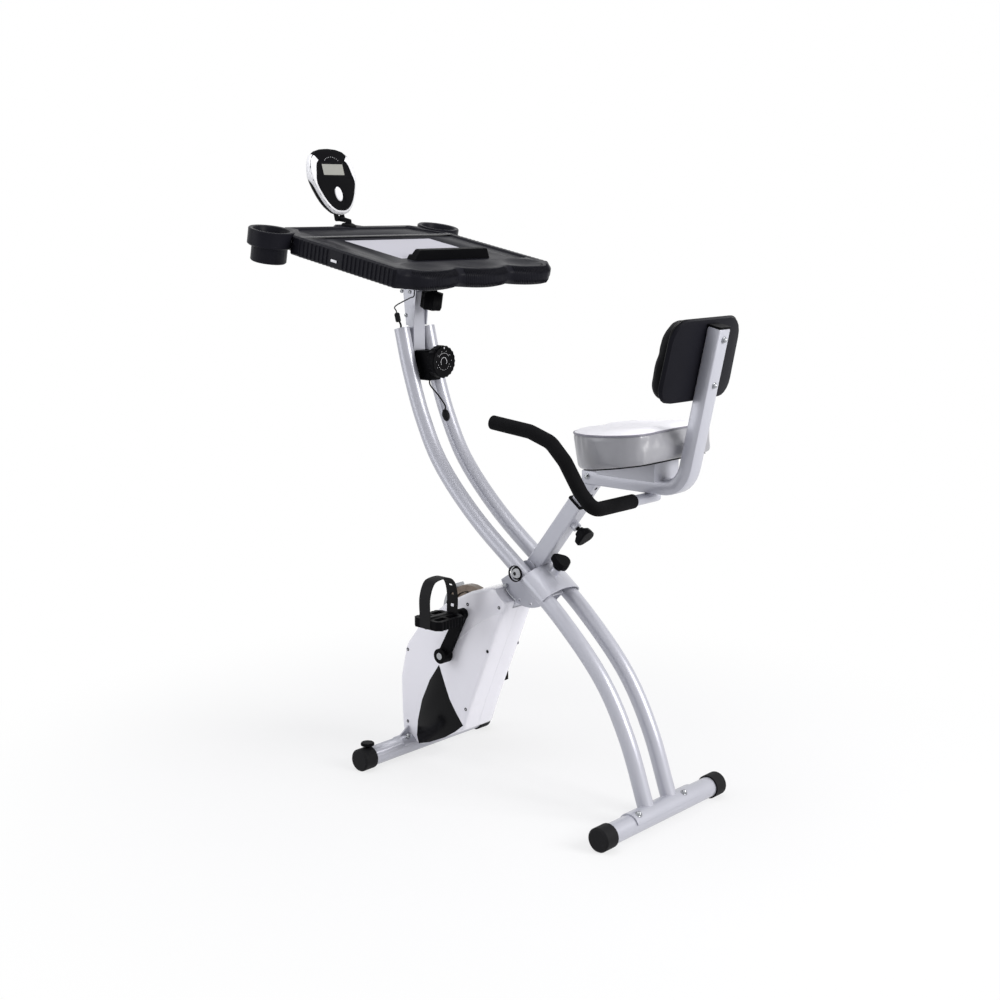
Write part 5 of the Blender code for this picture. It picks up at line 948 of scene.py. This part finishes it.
class DESKBIKE_OT_backrest(bpy.types.Operator):
    """Backrest pad, its moulded back panel and the welt between them"""

    bl_idname = "deskbike.backrest"
    bl_label = "Backrest"

    def execute(self, context):
        mesh = settled("back_pad", "backrest_pad", 0.006, 0.012, BACK)
        even_depth(mesh, BACK, 0.014, BACK_PROFILE)
        pad_piece("back_pad", mesh, "Back leather", "backrest_pad")
        finished("back_panel", solid_copy("backrest_shell"), "Back panel", "seat", 50,
                 ("backrest_shell",))
        corners = [(-BACK_HALF, -BACK_TALL), (BACK_HALF, -BACK_TALL), (BACK_HALF * 0.96, BACK_TALL),
                   (-BACK_HALF * 0.96, BACK_TALL)]
        inset = 0.975
        course = [
            BACK @ Vector((x * inset, y * inset, 0.0125 + 0.006 * (x / BACK_HALF) ** 2))
            for x, y in rounded(corners, 0.043, 8)]
        welt = swept(course, 0.0022, 4, closed=True)
        finished("back_welt", welt, "Gloss black", "seat", 60)
        return {"FINISHED"}


def handle_run():
    """Centreline of the handle, from the seat's arm to the open end."""
    corner = HANDLE_CROSS - Y_AXIS * 0.200
    rises = [corner + Vector((-ahead, 0, above)) for ahead, above in HANDLE_COURSE]
    return [HANDLE_CROSS + Y_AXIS * 0.026, corner] + rises


class DESKBIKE_OT_handle(bpy.types.Operator):
    """Handle tube with its foam grip"""

    bl_idname = "deskbike.handle"
    bl_label = "Handle"

    def execute(self, context):
        radius = context.scene.desk_bike_sizes.grip_radius
        course = bent_course(handle_run(), 0.050, 10)
        finished("handle_tube", swept(course, 0.012, 8), "Frame paint", "seat", 40,
                 ("handle_bar",))
        grip_start, spacing = -0.062, 0.008
        covered = [Vector((course[0].x, grip_start, course[0].z))]
        covered += [point for point in course if point.y < grip_start - 0.001]
        even = []
        for start, end in zip(covered, covered[1:]):
            pieces = max(1, round((end - start).length / spacing))
            even += [start.lerp(end, step / pieces) for step in range(pieces)]
        even.append(covered[-1] + (covered[-1] - covered[-2]).normalized() * 0.001)
        shape = swept(even, radius, 10)
        for end in (even[0], even[-1]):
            ring = [edge for edge in shape.edges
                    if all((v.co - end).length < radius * 1.02 for v in edge.verts)]
            rim = [edge for edge in ring if len(edge.link_faces) == 2 and edge.calc_face_angle(0) > 1.0]
            bevelled(shape, rim, 0.0035, 3)
        grip = finished("foam_grip", shape, "Foam", "seat", 50, ("handle_grip",))
        return {"FINISHED"}


# Points on the drive covers as (ahead of the rear foot, height)
PANEL_CORNERS = (
    (0.637, 0.255), (0.669, 0.210), (0.697, 0.151), (0.712, 0.095), (0.716, 0.054), (0.709, 0.0335),
    (0.671, 0.046), (0.618, 0.071), (0.584, 0.093), (0.557, 0.115), (0.580, 0.143), (0.601, 0.172),
    (0.617, 0.207),
)
COVER_SCREWS = (
    (0.540, 0.426), (0.439, 0.435), (0.476, 0.320), (0.548, 0.159), (0.745, 0.274), (0.748, 0.084))
COVER_ARC = (
    (0.603, 0.294), (0.572, 0.330), (0.533, 0.364), (0.500, 0.388), (0.467, 0.408), (0.430, 0.425))


class DESKBIKE_OT_covers(bpy.types.Operator):
    """Black panels, raised arcs and sunk screws on both drive covers"""

    bl_idname = "deskbike.covers"
    bl_label = "Cover trims"

    def execute(self, context):
        radius = context.scene.desk_bike_sizes.cover_screw
        rim = ((0.96, -0.0004), (1.35, -0.0004), (1.30, 0.0004), (1.02, 0.0002), (0.96, -0.0004))
        ring = [(radius * share, height) for share, height in rim]
        for side, sign, turn in SIDES:
            face = Matrix.Translation((0, sign * COVER_FACE, 0)) @ turn
            corners, screws, arc = (
                [(-sign * (REAR_FOOT_X - ahead), height) for ahead, height in points]
                for points in (PANEL_CORNERS, COVER_SCREWS, COVER_ARC))
            panel = plate(corners, 0.0010, lifted(face, -0.0003), 0.0003)
            finished(side + "_cover_panel", panel, "Gloss black", "front_frame")
            seats = [face @ Matrix.Translation((*spot, 0)) for spot in screws]
            heads = gathered(screw(lifted(at, -0.0006), radius, 0.0013) for at in seats)
            finished(side + "_cover_screws", heads, "Black moulding", "front_frame")
            wells = gathered(turned(ring, at, 24) for at in seats)
            finished(side + "_screw_rims", wells, "Cover gloss", "front_frame")
            course = smooth_course([face @ Vector((*spot, -0.0006)) for spot in arc], 6)
            finished(side + "_cover_arc", swept(course, 0.0012, 3), "Cover gloss", "front_frame",
                     60)
        return {"FINISHED"}


class DESKBIKE_OT_cover_mouth(bpy.types.Operator):
    """Closing walls beside the seat tube, where the covers are cut round for the lock bracket"""

    bl_idname = "deskbike.cover_mouth"
    bl_label = "Cover mouth"

    def execute(self, context):
        first, last, steps = 34.4, 61.2, 12
        round_cut = ring_of(0.0943, [first + (last - first) * step / steps for step in range(steps + 1)])
        walls = []
        for sign in (-1, 1):
            inner, outer = (
                [PIVOT + Vector((-x, sign * side, -z)) for x, z in round_cut] for side in (0.0215, 0.0536))
            walls.append(ribbon(inner, outer, 1, 0.0012))
        finished("cover_mouth", gathered(walls), "Cover gloss", "front_frame")
        return {"FINISHED"}


class DESKBIKE_OT_fasteners(bpy.types.Operator):
    """Bolts and nuts of the frames and the seat, the pivot's black rings, partly washers and partly
    painted shade, and dark discs of painted shade for the seat post's holes
    """

    bl_idname = "deskbike.fasteners"
    bl_label = "Fasteners"

    def execute(self, context):
        lean, rear_foot_face, front_foot_face = 0.5, 0.0272, 0.0268
        mast_face, head_face, arm_face = 0.0233, 0.0715, 0.0203
        out = Vector((math.sin(lean), 0, math.cos(lean)))
        bolts = [dome_nut(aim(REAR_FOOT + Y_AXIS * side + out * rear_foot_face, out), 0.0062)
                 for side in (-0.100, 0.074)]
        for ahead, height in ((0.784, 1.168), (0.756, 1.167), (0.770, 1.110)):
            for sign in (-1, 1):
                at = aim(place(ahead, sign * mast_face, height), Y_AXIS * sign)
                bolts.append(screw(at, 0.0048, 0.0030))
        finished("frame_bolts", gathered(bolts), "Chrome", "frame")
        # Black rings round both pivot heads: partly washers, partly painted shade round each head
        ring = [(0.0172, -0.004), (0.0196, -0.004), (0.0196, -0.0005), (0.0178, 0.0002), (0.0172, -0.001)]
        shade_rings = gathered(
            turned(ring, aim(PIVOT + Y_AXIS * sign * head_face, Y_AXIS * sign), 40) for sign in (-1, 1))
        finished("pivot_shade_rings", shade_rings, "Black moulding", "frame")

        out = Vector((0.35, 0, 1)).normalized()
        bolts = gathered(
            dome_nut(aim(FRONT_FOOT + Vector((0.004, side, 0)) + out * front_foot_face, out), 0.0055)
            for side in (-0.072, 0.072))
        finished("foot_bolts", bolts, "Chrome", "front_frame")

        rear = Matrix.Rotation(math.radians(BACK_LEAN), 3, "Y") @ X_AXIS
        nuts = [(place(-0.138, 0, 1.100), rear), (place(-0.1165, 0, 1.003), rear)]
        nuts += [(place(0.205, sign * arm_face, 0.7745), Y_AXIS * sign) for sign in (-1, 1)]
        bolts = gathered(dome_nut(aim(spot, way), 0.0052) for spot, way in nuts)
        merged(bolts, screw(aim(place(0.020, 0, 0.7560), -Z_AXIS), 0.0048, 0.0030))
        finished("seat_bolts", bolts, "Chrome", "seat")

        # Dark discs on the seat post: painted shade of its holes
        hole_shades = gathered(
            disc(0.0042, aim(LEG @ Vector((0.0155, 0, 0.236 + 0.022 * step)), LEG.to_3x3() @ X_AXIS), 24)
            for step in range(3))
        finished("post_hole_shades", hole_shades, "Hollow", "seat")
        return {"FINISHED"}


class DESKBIKE_OT_pivot_sockets(bpy.types.Operator):
    """Dark hexagons of painted shade for the sockets in the pivot bolt's two heads"""

    bl_idname = "deskbike.pivot_sockets"
    bl_label = "Pivot sockets"

    def execute(self, context):
        hexagon = ring_of(0.0048, range(0, 360, 60))
        socket_shades = []
        for corner, (_, _, turn) in zip(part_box("pivot_bolt"), SIDES):
            at = Matrix.Translation((PIVOT.x, corner.y, PIVOT.z)) @ turn
            # Thin dark hexagon on each head: painted shade of the socket
            socket_shades.append(plate(hexagon, 0.0003, lifted(at, -0.0001)))
        finished("pivot_sockets", gathered(socket_shades), "Hollow", body_of("pivot_bolt"))
        return {"FINISHED"}


class DESKBIKE_OT_crank_arms(bpy.types.Operator):
    """Smooth-shaded copies of both crank arms"""

    bl_idname = "deskbike.crank_arms"
    bl_label = "Crank arms"

    def execute(self, context):
        for side, _, _ in SIDES:
            arm = side + "_crank_arm"
            finished(side + "_arm", solid_copy(arm), "Black moulding", "crank", 32, (arm,))
        return {"FINISHED"}


class DESKBIKE_OT_pedal_straps(bpy.types.Operator):
    """Slotted straps over both pedals"""

    bl_idname = "deskbike.pedal_straps"
    bl_label = "Pedal straps"

    def execute(self, context):
        pedal_half, clearance, half_strap = 0.046, 0.0003, 0.00125
        gap = pedal_half + clearance + half_strap
        outline = (
            (gap, -0.010), (gap, 0.014), (gap + 0.001, 0.060), (gap - 0.010, 0.092), (0.020, 0.104),
            (-0.018, 0.104), (-gap + 0.008, 0.088), (-gap - 0.001, 0.055), (-gap, 0.014), (-gap, 0.0075),
        )
        edge, slot_edge, plain, bar, pitch = 0.017, 0.0055, 26, 3, 4
        for side, sign, _ in SIDES:
            angle = CRANK_ANGLE if sign < 0 else CRANK_ANGLE + math.pi
            arm = Vector((math.cos(angle), 0, math.sin(angle))) * CRANK_LENGTH
            centre = CRANK + arm + Y_AXIS * sign * PEDAL_SIDE
            line = smooth_course([Vector((0, sign * across, height)) for across, height in outline], 6)
            strips = [(-edge, -slot_edge, line), (slot_edge, edge, line)]
            strips.append((-slot_edge, slot_edge, line[:plain + 1]))
            for index in range(plain, len(line) - 4, pitch):
                strips.append((-slot_edge, slot_edge, line[index:index + bar + 1]))
            shape = gathered(
                ribbon(*([centre + Vector((x, p.y, p.z)) for p in points] for x in (low, high)), 1, 0)
                for low, high, points in strips)
            weld(shape, 0.0001)
            finished(side + "_strap", solidified(shape, 0.0022), "Rubber", side + "_pedal_turn",
                     30, (side + "_pedal_strap",))
        return {"FINISHED"}


class DESKBIKE_OT_monitor(bpy.types.Operator):
    """White trim, display surround and marks of the monitor"""

    bl_idname = "deskbike.monitor"
    bl_label = "Monitor trims"

    def execute(self, context):
        tree = surface_of(bpy.data.objects["monitor_case_skin"])
        turn = MONITOR.to_3x3()
        toward = turn @ Z_AXIS

        in_front, outside, flank_lift = 0.08, 1.6, 0.0012

        def on_face(x, y, lift):
            start = MONITOR @ Vector((x, y, in_front))
            return struck(tree, start, -toward, "the trim on the monitor's face") + toward * lift

        def on_flank(point, middle, level):
            start = MONITOR @ Vector((point.x * outside, middle + point.y * outside, level))
            inward = (turn @ Vector((-point.x, -point.y, 0))).normalized()
            return struck(tree, start, inward, "the trim on the monitor's side") - inward * flank_lift

        half, top, bottom = 0.077, 0.130, 0.042
        side = [
            (half * 0.74, top * 0.86), (half * 0.90, top * 0.75), (half, top * 0.48),
            (half * 0.90, top * 0.22), (half * 0.66, -bottom * 0.25), (half * 0.34, -bottom * 0.86)]
        round_trip = [(-x, y) for x, y in side] + [(0, -bottom)] + side[::-1]
        middle = (top - bottom) / 2
        line = smooth_course([Vector((x, y - middle, 0)) for x, y in round_trip], 5)
        rows = []
        spans = 5
        for index, point in enumerate(line):
            along = abs(index / (len(line) - 1) - 0.5) * 2
            wing = min(1.0, max(0.0, (along - 0.50) / 0.22))
            wing = wing * wing * (3 - 2 * wing)
            width, wrap = 0.05 + 0.13 * wing, 0.002 + 0.019 * wing
            shares = [0.955 - width * step / spans for step in range(spans + 1)]
            brow = [on_face(point.x * share, middle + point.y * share, 0.0007) for share in shares]
            level = (MONITOR.inverted() @ brow[0]).z - 0.0045
            flank = [on_flank(point, middle, level - wrap * step / spans) for step in range(spans, -1, -1)]
            rows.append(flank + brow)
        finished("monitor_trim", grid_sheet(rows, 0.0006), "White moulding", "monitor", 40)

        rims = []
        for outline in (round_box(0.038, 0.0555, 0.0905, 0.003, 4),
                        round_box(0.0345, 0.0595, 0.0865, 0.0015, 4)):
            rims.append([on_face(x, y, 0.0003) for x, y in outline + outline[:1]])
        finished("display_surround", ribbon(*rims, 1, 0.0005), "Gloss black", "monitor")

        marks = gathered(
            disc(0.0010, aim(on_face(1.625 * x, 0.089 + y, 0.0002), toward), 12, 0.0009)
            for x, y in ring_of(0.016, range(30, 151, 15)))
        finished("monitor_marks", marks, "Mark white", "monitor")
        return {"FINISHED"}


class DESKBIKE_OT_dial(bpy.types.Operator):
    """Scale marks on the resistance dial"""

    bl_idname = "deskbike.dial"
    bl_label = "Dial marks"

    def execute(self, context):
        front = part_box("tension_dial")[1].x
        face = Matrix.Translation((front, 0, DIAL_HEIGHT)) @ FACING_RIDER
        marks = bmesh.new()
        for start, end, radius, width in ((-35, 215, 0.0110, 0.0012), (35, 145, 0.0215, 0.0006)):
            outer = ring_of(radius, [start + (end - start) * step / 24 for step in range(25)])
            inner = [(x * (1 - width / radius), y * (1 - width / radius)) for x, y in outer]
            merged(marks, plate(outer + inner[::-1], 0.0002, lifted(face, -0.00215)))
        for radius, first, last, count in ((0.0262, -30, 210, 8), (0.0200, 200, 340, 9)):
            angles = [first + (last - first) * step / (count - 1) for step in range(count)]
            for spot in ring_of(radius, angles):
                merged(marks, disc(0.0009, aim(face @ Vector((*spot, -0.0021)), X_AXIS), 12, 0.0008))
        finished("dial_marks", marks, "Mark white", "dial")
        pointer = plate(round_box(0.0012, 0.0315, 0.0362, 0.0006, 3), 0.0004, lifted(face, -0.0009))
        finished("dial_pointer", pointer, "Mark white", "dial")
        return {"FINISHED"}


class DESKBIKE_OT_desk(bpy.types.Operator):
    """Elastic band, edge ribs, cup holder screws and small fittings of the desk"""

    bl_idname = "deskbike.desk"
    bl_label = "Desk trims"

    def execute(self, context):
        low, high = 0.0004, 0.0018
        band_edges = (
            smooth_course([DESK @ Vector((x, y, low)) for y in (-0.262, -0.10, 0.05, 0.14, 0.262)], 6)
            for x in (-0.341, -0.329))
        band = ribbon(*band_edges, 3, high - low)
        finished("band", band, "Elastic weave", "desk", 40, ("elastic_band",))

        ribs = bmesh.new()
        section = (
            (0.0115, -0.0007), (0.0042, -0.0050), (0.0003, -0.0130), (0.0003, -0.0330), (0.0042, -0.0410))
        spacings, first, opening, slant = 30, -27, 54, 0.9
        for index in (-1, 0, 1):
            centre = Vector((LOBE_REACH - LOBE_RADIUS, index * LOBE_PITCH, 0))
            for step in range(spacings + 1):
                course = []
                for number, (inset, height) in enumerate(section):
                    angle = math.radians(first + opening * step / spacings + slant * number)
                    out = Vector((math.cos(angle), math.sin(angle), 0))
                    point = centre + out * (LOBE_RADIUS - inset) + Z_AXIS * height
                    course.append(DESK @ rounder_corner(point))
                merged(ribs, swept(course, 0.0011, 1))
        finished("edge_ribs", ribs, "Desk moulding", "desk", 60)

        bars = bmesh.new()
        count, far_end, near_end, slot_x, slot_gap = 24, -0.335, -0.006, -0.205, 0.014
        pitch = (near_end - far_end) / count
        for sign in (-1, 1):
            for number in range(count):
                x = far_end + (number + 0.5) * pitch
                if sign < 0 and abs(x - slot_x) < slot_gap:
                    continue
                ends = [DESK @ rounder_corner(Vector((x, sign * 0.2688, z))) for z in (-0.0045, -0.0415)]
                merged(bars, swept(ends, 0.0022, 2))
        finished("side_ribs", bars, "Desk moulding", "desk", 60)

        at = DESK @ Matrix.Translation((slot_x, -0.2702, -0.028)) @ FROM_LEFT
        slot_plate = plate(round_box(0.010, -0.0028, 0.0028, 0.0015, 4), 0.0012, at, 0.0003)
        finished("side_slot", slot_plate, "White moulding", "desk")

        screws = gathered(
            screw(DESK @ Matrix.Translation((x, sign * 0.2640, -0.016)) @ turn, 0.0036, 0.0024)
            for _, sign, turn in SIDES for x in (-0.352, -0.364))
        finished("cup_screws", screws, "Chrome", "desk")
        return {"FINISHED"}


def tension_route():
    """Points of the dial's cable, from the block under the dial into the right tube's grommet."""
    grommet_height, clearance = 0.875, 0.0003
    near = min(tube_course(1, 2), key=lambda point: abs(point.z - grommet_height))
    grommet = Vector((near.x + 0.010, near.y - TUBE_RADIUS * 0.86, near.z))
    block_front, block_depth, block_foot = place(0.757, 0, 0).x + 0.010, 0.052, 0.954
    start = Vector((block_front + clearance + block_depth * 0.62, 0, block_foot - clearance))
    end = grommet + Vector((0.004, -0.0065, 0.0140))
    return smooth_course([
        start, start + Vector((0.001, 0.002, -0.014)),
        start.lerp(end, 0.55) + Vector((0.006, -0.004, 0.002)), end + Vector((0.002, -0.003, 0.012)),
        end], 6)


def sensor_route():
    """Points of the sensor lead, from under the desk to the plug in the left tube's mouth."""
    mouth = Vector((PIVOT.x - TUBE_COURSE[0][0], -TUBE_SIDE, PIVOT.z + TUBE_COURSE[0][1]))
    neck = mouth + Vector((0.001, -0.004, 0.008))
    head = neck + Vector((-0.001, -0.007, 0.008))
    top = head + Vector((-0.002, -0.004, 0.022))
    along = (top - head).normalized()
    start = DESK @ Vector((0.004, -0.210, -0.0463))
    end = top + along * 0.0003
    down = DESK.to_3x3() @ -Z_AXIS
    route = [
        start + down * 0.004, start + down * 0.018, start.lerp(end, 0.45) + Vector((0.010, 0, 0.004)),
        end + along * 0.016, end + along * 0.004]
    return [start] + smooth_course(route, 6) + [end]


class DESKBIKE_OT_leads(bpy.types.Operator):
    """Dial cable and sensor lead"""

    bl_idname = "deskbike.leads"
    bl_label = "Leads"

    def execute(self, context):
        for name, radius, route in (
                ("tension_cable", 0.0018, tension_route()), ("sensor_cable", 0.0015, sensor_route())):
            curve = curve_along(name + "_lead", route, radius, 4)
            curve.materials.append(bpy.data.materials["Rubber"])
            lead = riding(name + "_lead", curve, "frame", (name,))
        return {"FINISHED"}


def lamp(name, location, height_aimed_at, size, power, colour):
    """Soft square lamp that faces a height above the origin."""
    data = bpy.data.lights.new(name, "AREA")
    data.shape = "SQUARE"
    data.size = size
    data.energy = power
    data.color = colour
    made = linked(name, data)
    made.location = location
    way = Vector((0, 0, height_aimed_at)) - Vector(location)
    made.rotation_euler = way.to_track_quat("-Z", "Y").to_euler()


def seen_directly(tree):
    """One where the camera or a clear reflection sees a surface, else nought."""
    path = node(tree, "ShaderNodeLightPath").outputs
    first = node(tree, "ShaderNodeMath", None, {0: path["Is Camera Ray"], 1: path["Is Glossy Ray"]},
                 operation="MAXIMUM")
    second = node(tree, "ShaderNodeMath", None, {0: first.outputs[0], 1: path["Is Transmission Ray"]},
                  operation="MAXIMUM")
    return second.outputs[0]


def whitened(tree, share, shader, light, output):
    """Mix a shader with plain white light by a share."""
    mix = node(tree, "ShaderNodeMixShader", None, {0: share, 1: shader, 2: light.outputs[0]})
    feed(tree, tree.nodes[output], {"Surface": mix.outputs[0]})


def floor_finish():
    """Pale floor that fades to white away from the bike."""
    material = bpy.data.materials.new("Studio floor")
    material.use_nodes = True
    tree = material.node_tree
    shader = tree.nodes["Principled BSDF"]
    shader.inputs["Base Color"].default_value = (0.80, 0.80, 0.81, 1)
    shader.inputs["Roughness"].default_value = 0.7
    light = node(tree, "ShaderNodeEmission", {"Color": (1, 1, 1, 1), "Strength": 1.0})
    where = node(tree, "ShaderNodeTexCoord").outputs["Object"]
    length = node(tree, "ShaderNodeVectorMath", None, {0: where}, operation="LENGTH")
    fade = node(
        tree, "ShaderNodeMapRange", {"From Min": 0.55, "From Max": 1.5, "To Min": 0.70, "To Max": 1.0},
        {"Value": length.outputs["Value"]}, interpolation_type="SMOOTHSTEP")
    share = node(
        tree, "ShaderNodeMath", None, {0: seen_directly(tree), 1: fade.outputs["Result"]},
        operation="MULTIPLY")
    whitened(tree, share.outputs[0], shader.outputs["BSDF"], light, "Material Output")
    return material


class DESKBIKE_OT_stage(bpy.types.Operator):
    """Floor, lamps, white surroundings and the photograph's camera"""

    bl_idname = "deskbike.stage"
    bl_label = "Stage"

    def execute(self, context):
        scene = context.scene
        data = bpy.data.cameras.new("Camera")
        data.sensor_width = 36.0
        data.lens = scene.desk_bike_sizes.lens
        data.clip_end = 100
        camera = linked("Camera", data)
        camera.location = (2.4198, -2.756, 1.383)
        camera.rotation_euler = (math.radians(79.20), 0, math.radians(41.38))
        scene.camera = camera
        scene.view_settings.view_transform = "Standard"

        shape = bmesh.new()
        bmesh.ops.create_circle(shape, cap_ends=True, radius=9.0, segments=64)
        floor = linked("floor", mesh_of("floor", shape))
        floor.data.materials.append(floor_finish())

        world = bpy.data.worlds.new("Studio")
        scene.world = world
        world.use_nodes = True
        tree = world.node_tree
        base = tree.nodes["Background"]
        base.inputs["Color"].default_value = (0.93, 0.94, 1.0, 1)
        base.inputs["Strength"].default_value = 0.40
        white = node(tree, "ShaderNodeBackground", {"Color": (1, 1, 1, 1), "Strength": 1.0})
        whitened(tree, seen_directly(tree), base.outputs[0], white, "World Output")

        lamp("Rear lamp", (3.4, 0.9, 2.2), 0.7, 1.8, 120, (1.0, 0.99, 0.98))
        lamp("Top lamp", (-0.3, -0.4, 3.6), 0.6, 2.4, 52, (1.0, 1.0, 1.0))
        lamp("Near lamp", (-2.2, -3.0, 1.6), 0.7, 2.4, 40, (0.97, 0.98, 1.0))
        return {"FINISHED"}


OPERATORS = (
    DESKBIKE_OT_finishes, DESKBIKE_OT_smooth_solids, DESKBIKE_OT_leads, DESKBIKE_OT_frame_tubes,
    DESKBIKE_OT_seat, DESKBIKE_OT_backrest, DESKBIKE_OT_handle, DESKBIKE_OT_covers,
    DESKBIKE_OT_cover_mouth, DESKBIKE_OT_fasteners, DESKBIKE_OT_pivot_sockets, DESKBIKE_OT_crank_arms,
    DESKBIKE_OT_pedal_straps, DESKBIKE_OT_monitor, DESKBIKE_OT_dial, DESKBIKE_OT_desk,
    DESKBIKE_OT_stage,
)


class DESKBIKE_PT_panel(bpy.types.Panel):
    """Colours, sizes and steps of the desk bike"""

    bl_label = "Desk Bike"
    bl_idname = "DESKBIKE_PT_panel"
    bl_space_type = "VIEW_3D"
    bl_region_type = "UI"
    bl_category = "Desk Bike"

    def draw(self, context):
        for group in (context.scene.desk_bike_colours, context.scene.desk_bike_sizes):
            for name in group.bl_rna.properties.keys():
                if name not in ("rna_type", "name"):
                    self.layout.prop(group, name)
        for step in OPERATORS:
            self.layout.operator(step.bl_idname)


CLASSES = (DeskBikeColours, DeskBikeSizes, *OPERATORS, DESKBIKE_PT_panel)


def register():
    """Register the classes and hang both groups of settings on the scene."""
    for item in CLASSES:
        bpy.utils.register_class(item)
    bpy.types.Scene.desk_bike_colours = bpy.props.PointerProperty(type=DeskBikeColours)
    bpy.types.Scene.desk_bike_sizes = bpy.props.PointerProperty(type=DeskBikeSizes)


def unregister():
    """Undo register."""
    del bpy.types.Scene.desk_bike_sizes
    del bpy.types.Scene.desk_bike_colours
    for item in reversed(CLASSES):
        bpy.utils.unregister_class(item)


def main():
    """Dress the whole bike and set the studio."""
    register()
    for step in OPERATORS:
        group, name = step.bl_idname.split(".")
        getattr(getattr(bpy.ops, group), name)()


if __name__ == "__main__":
    main()
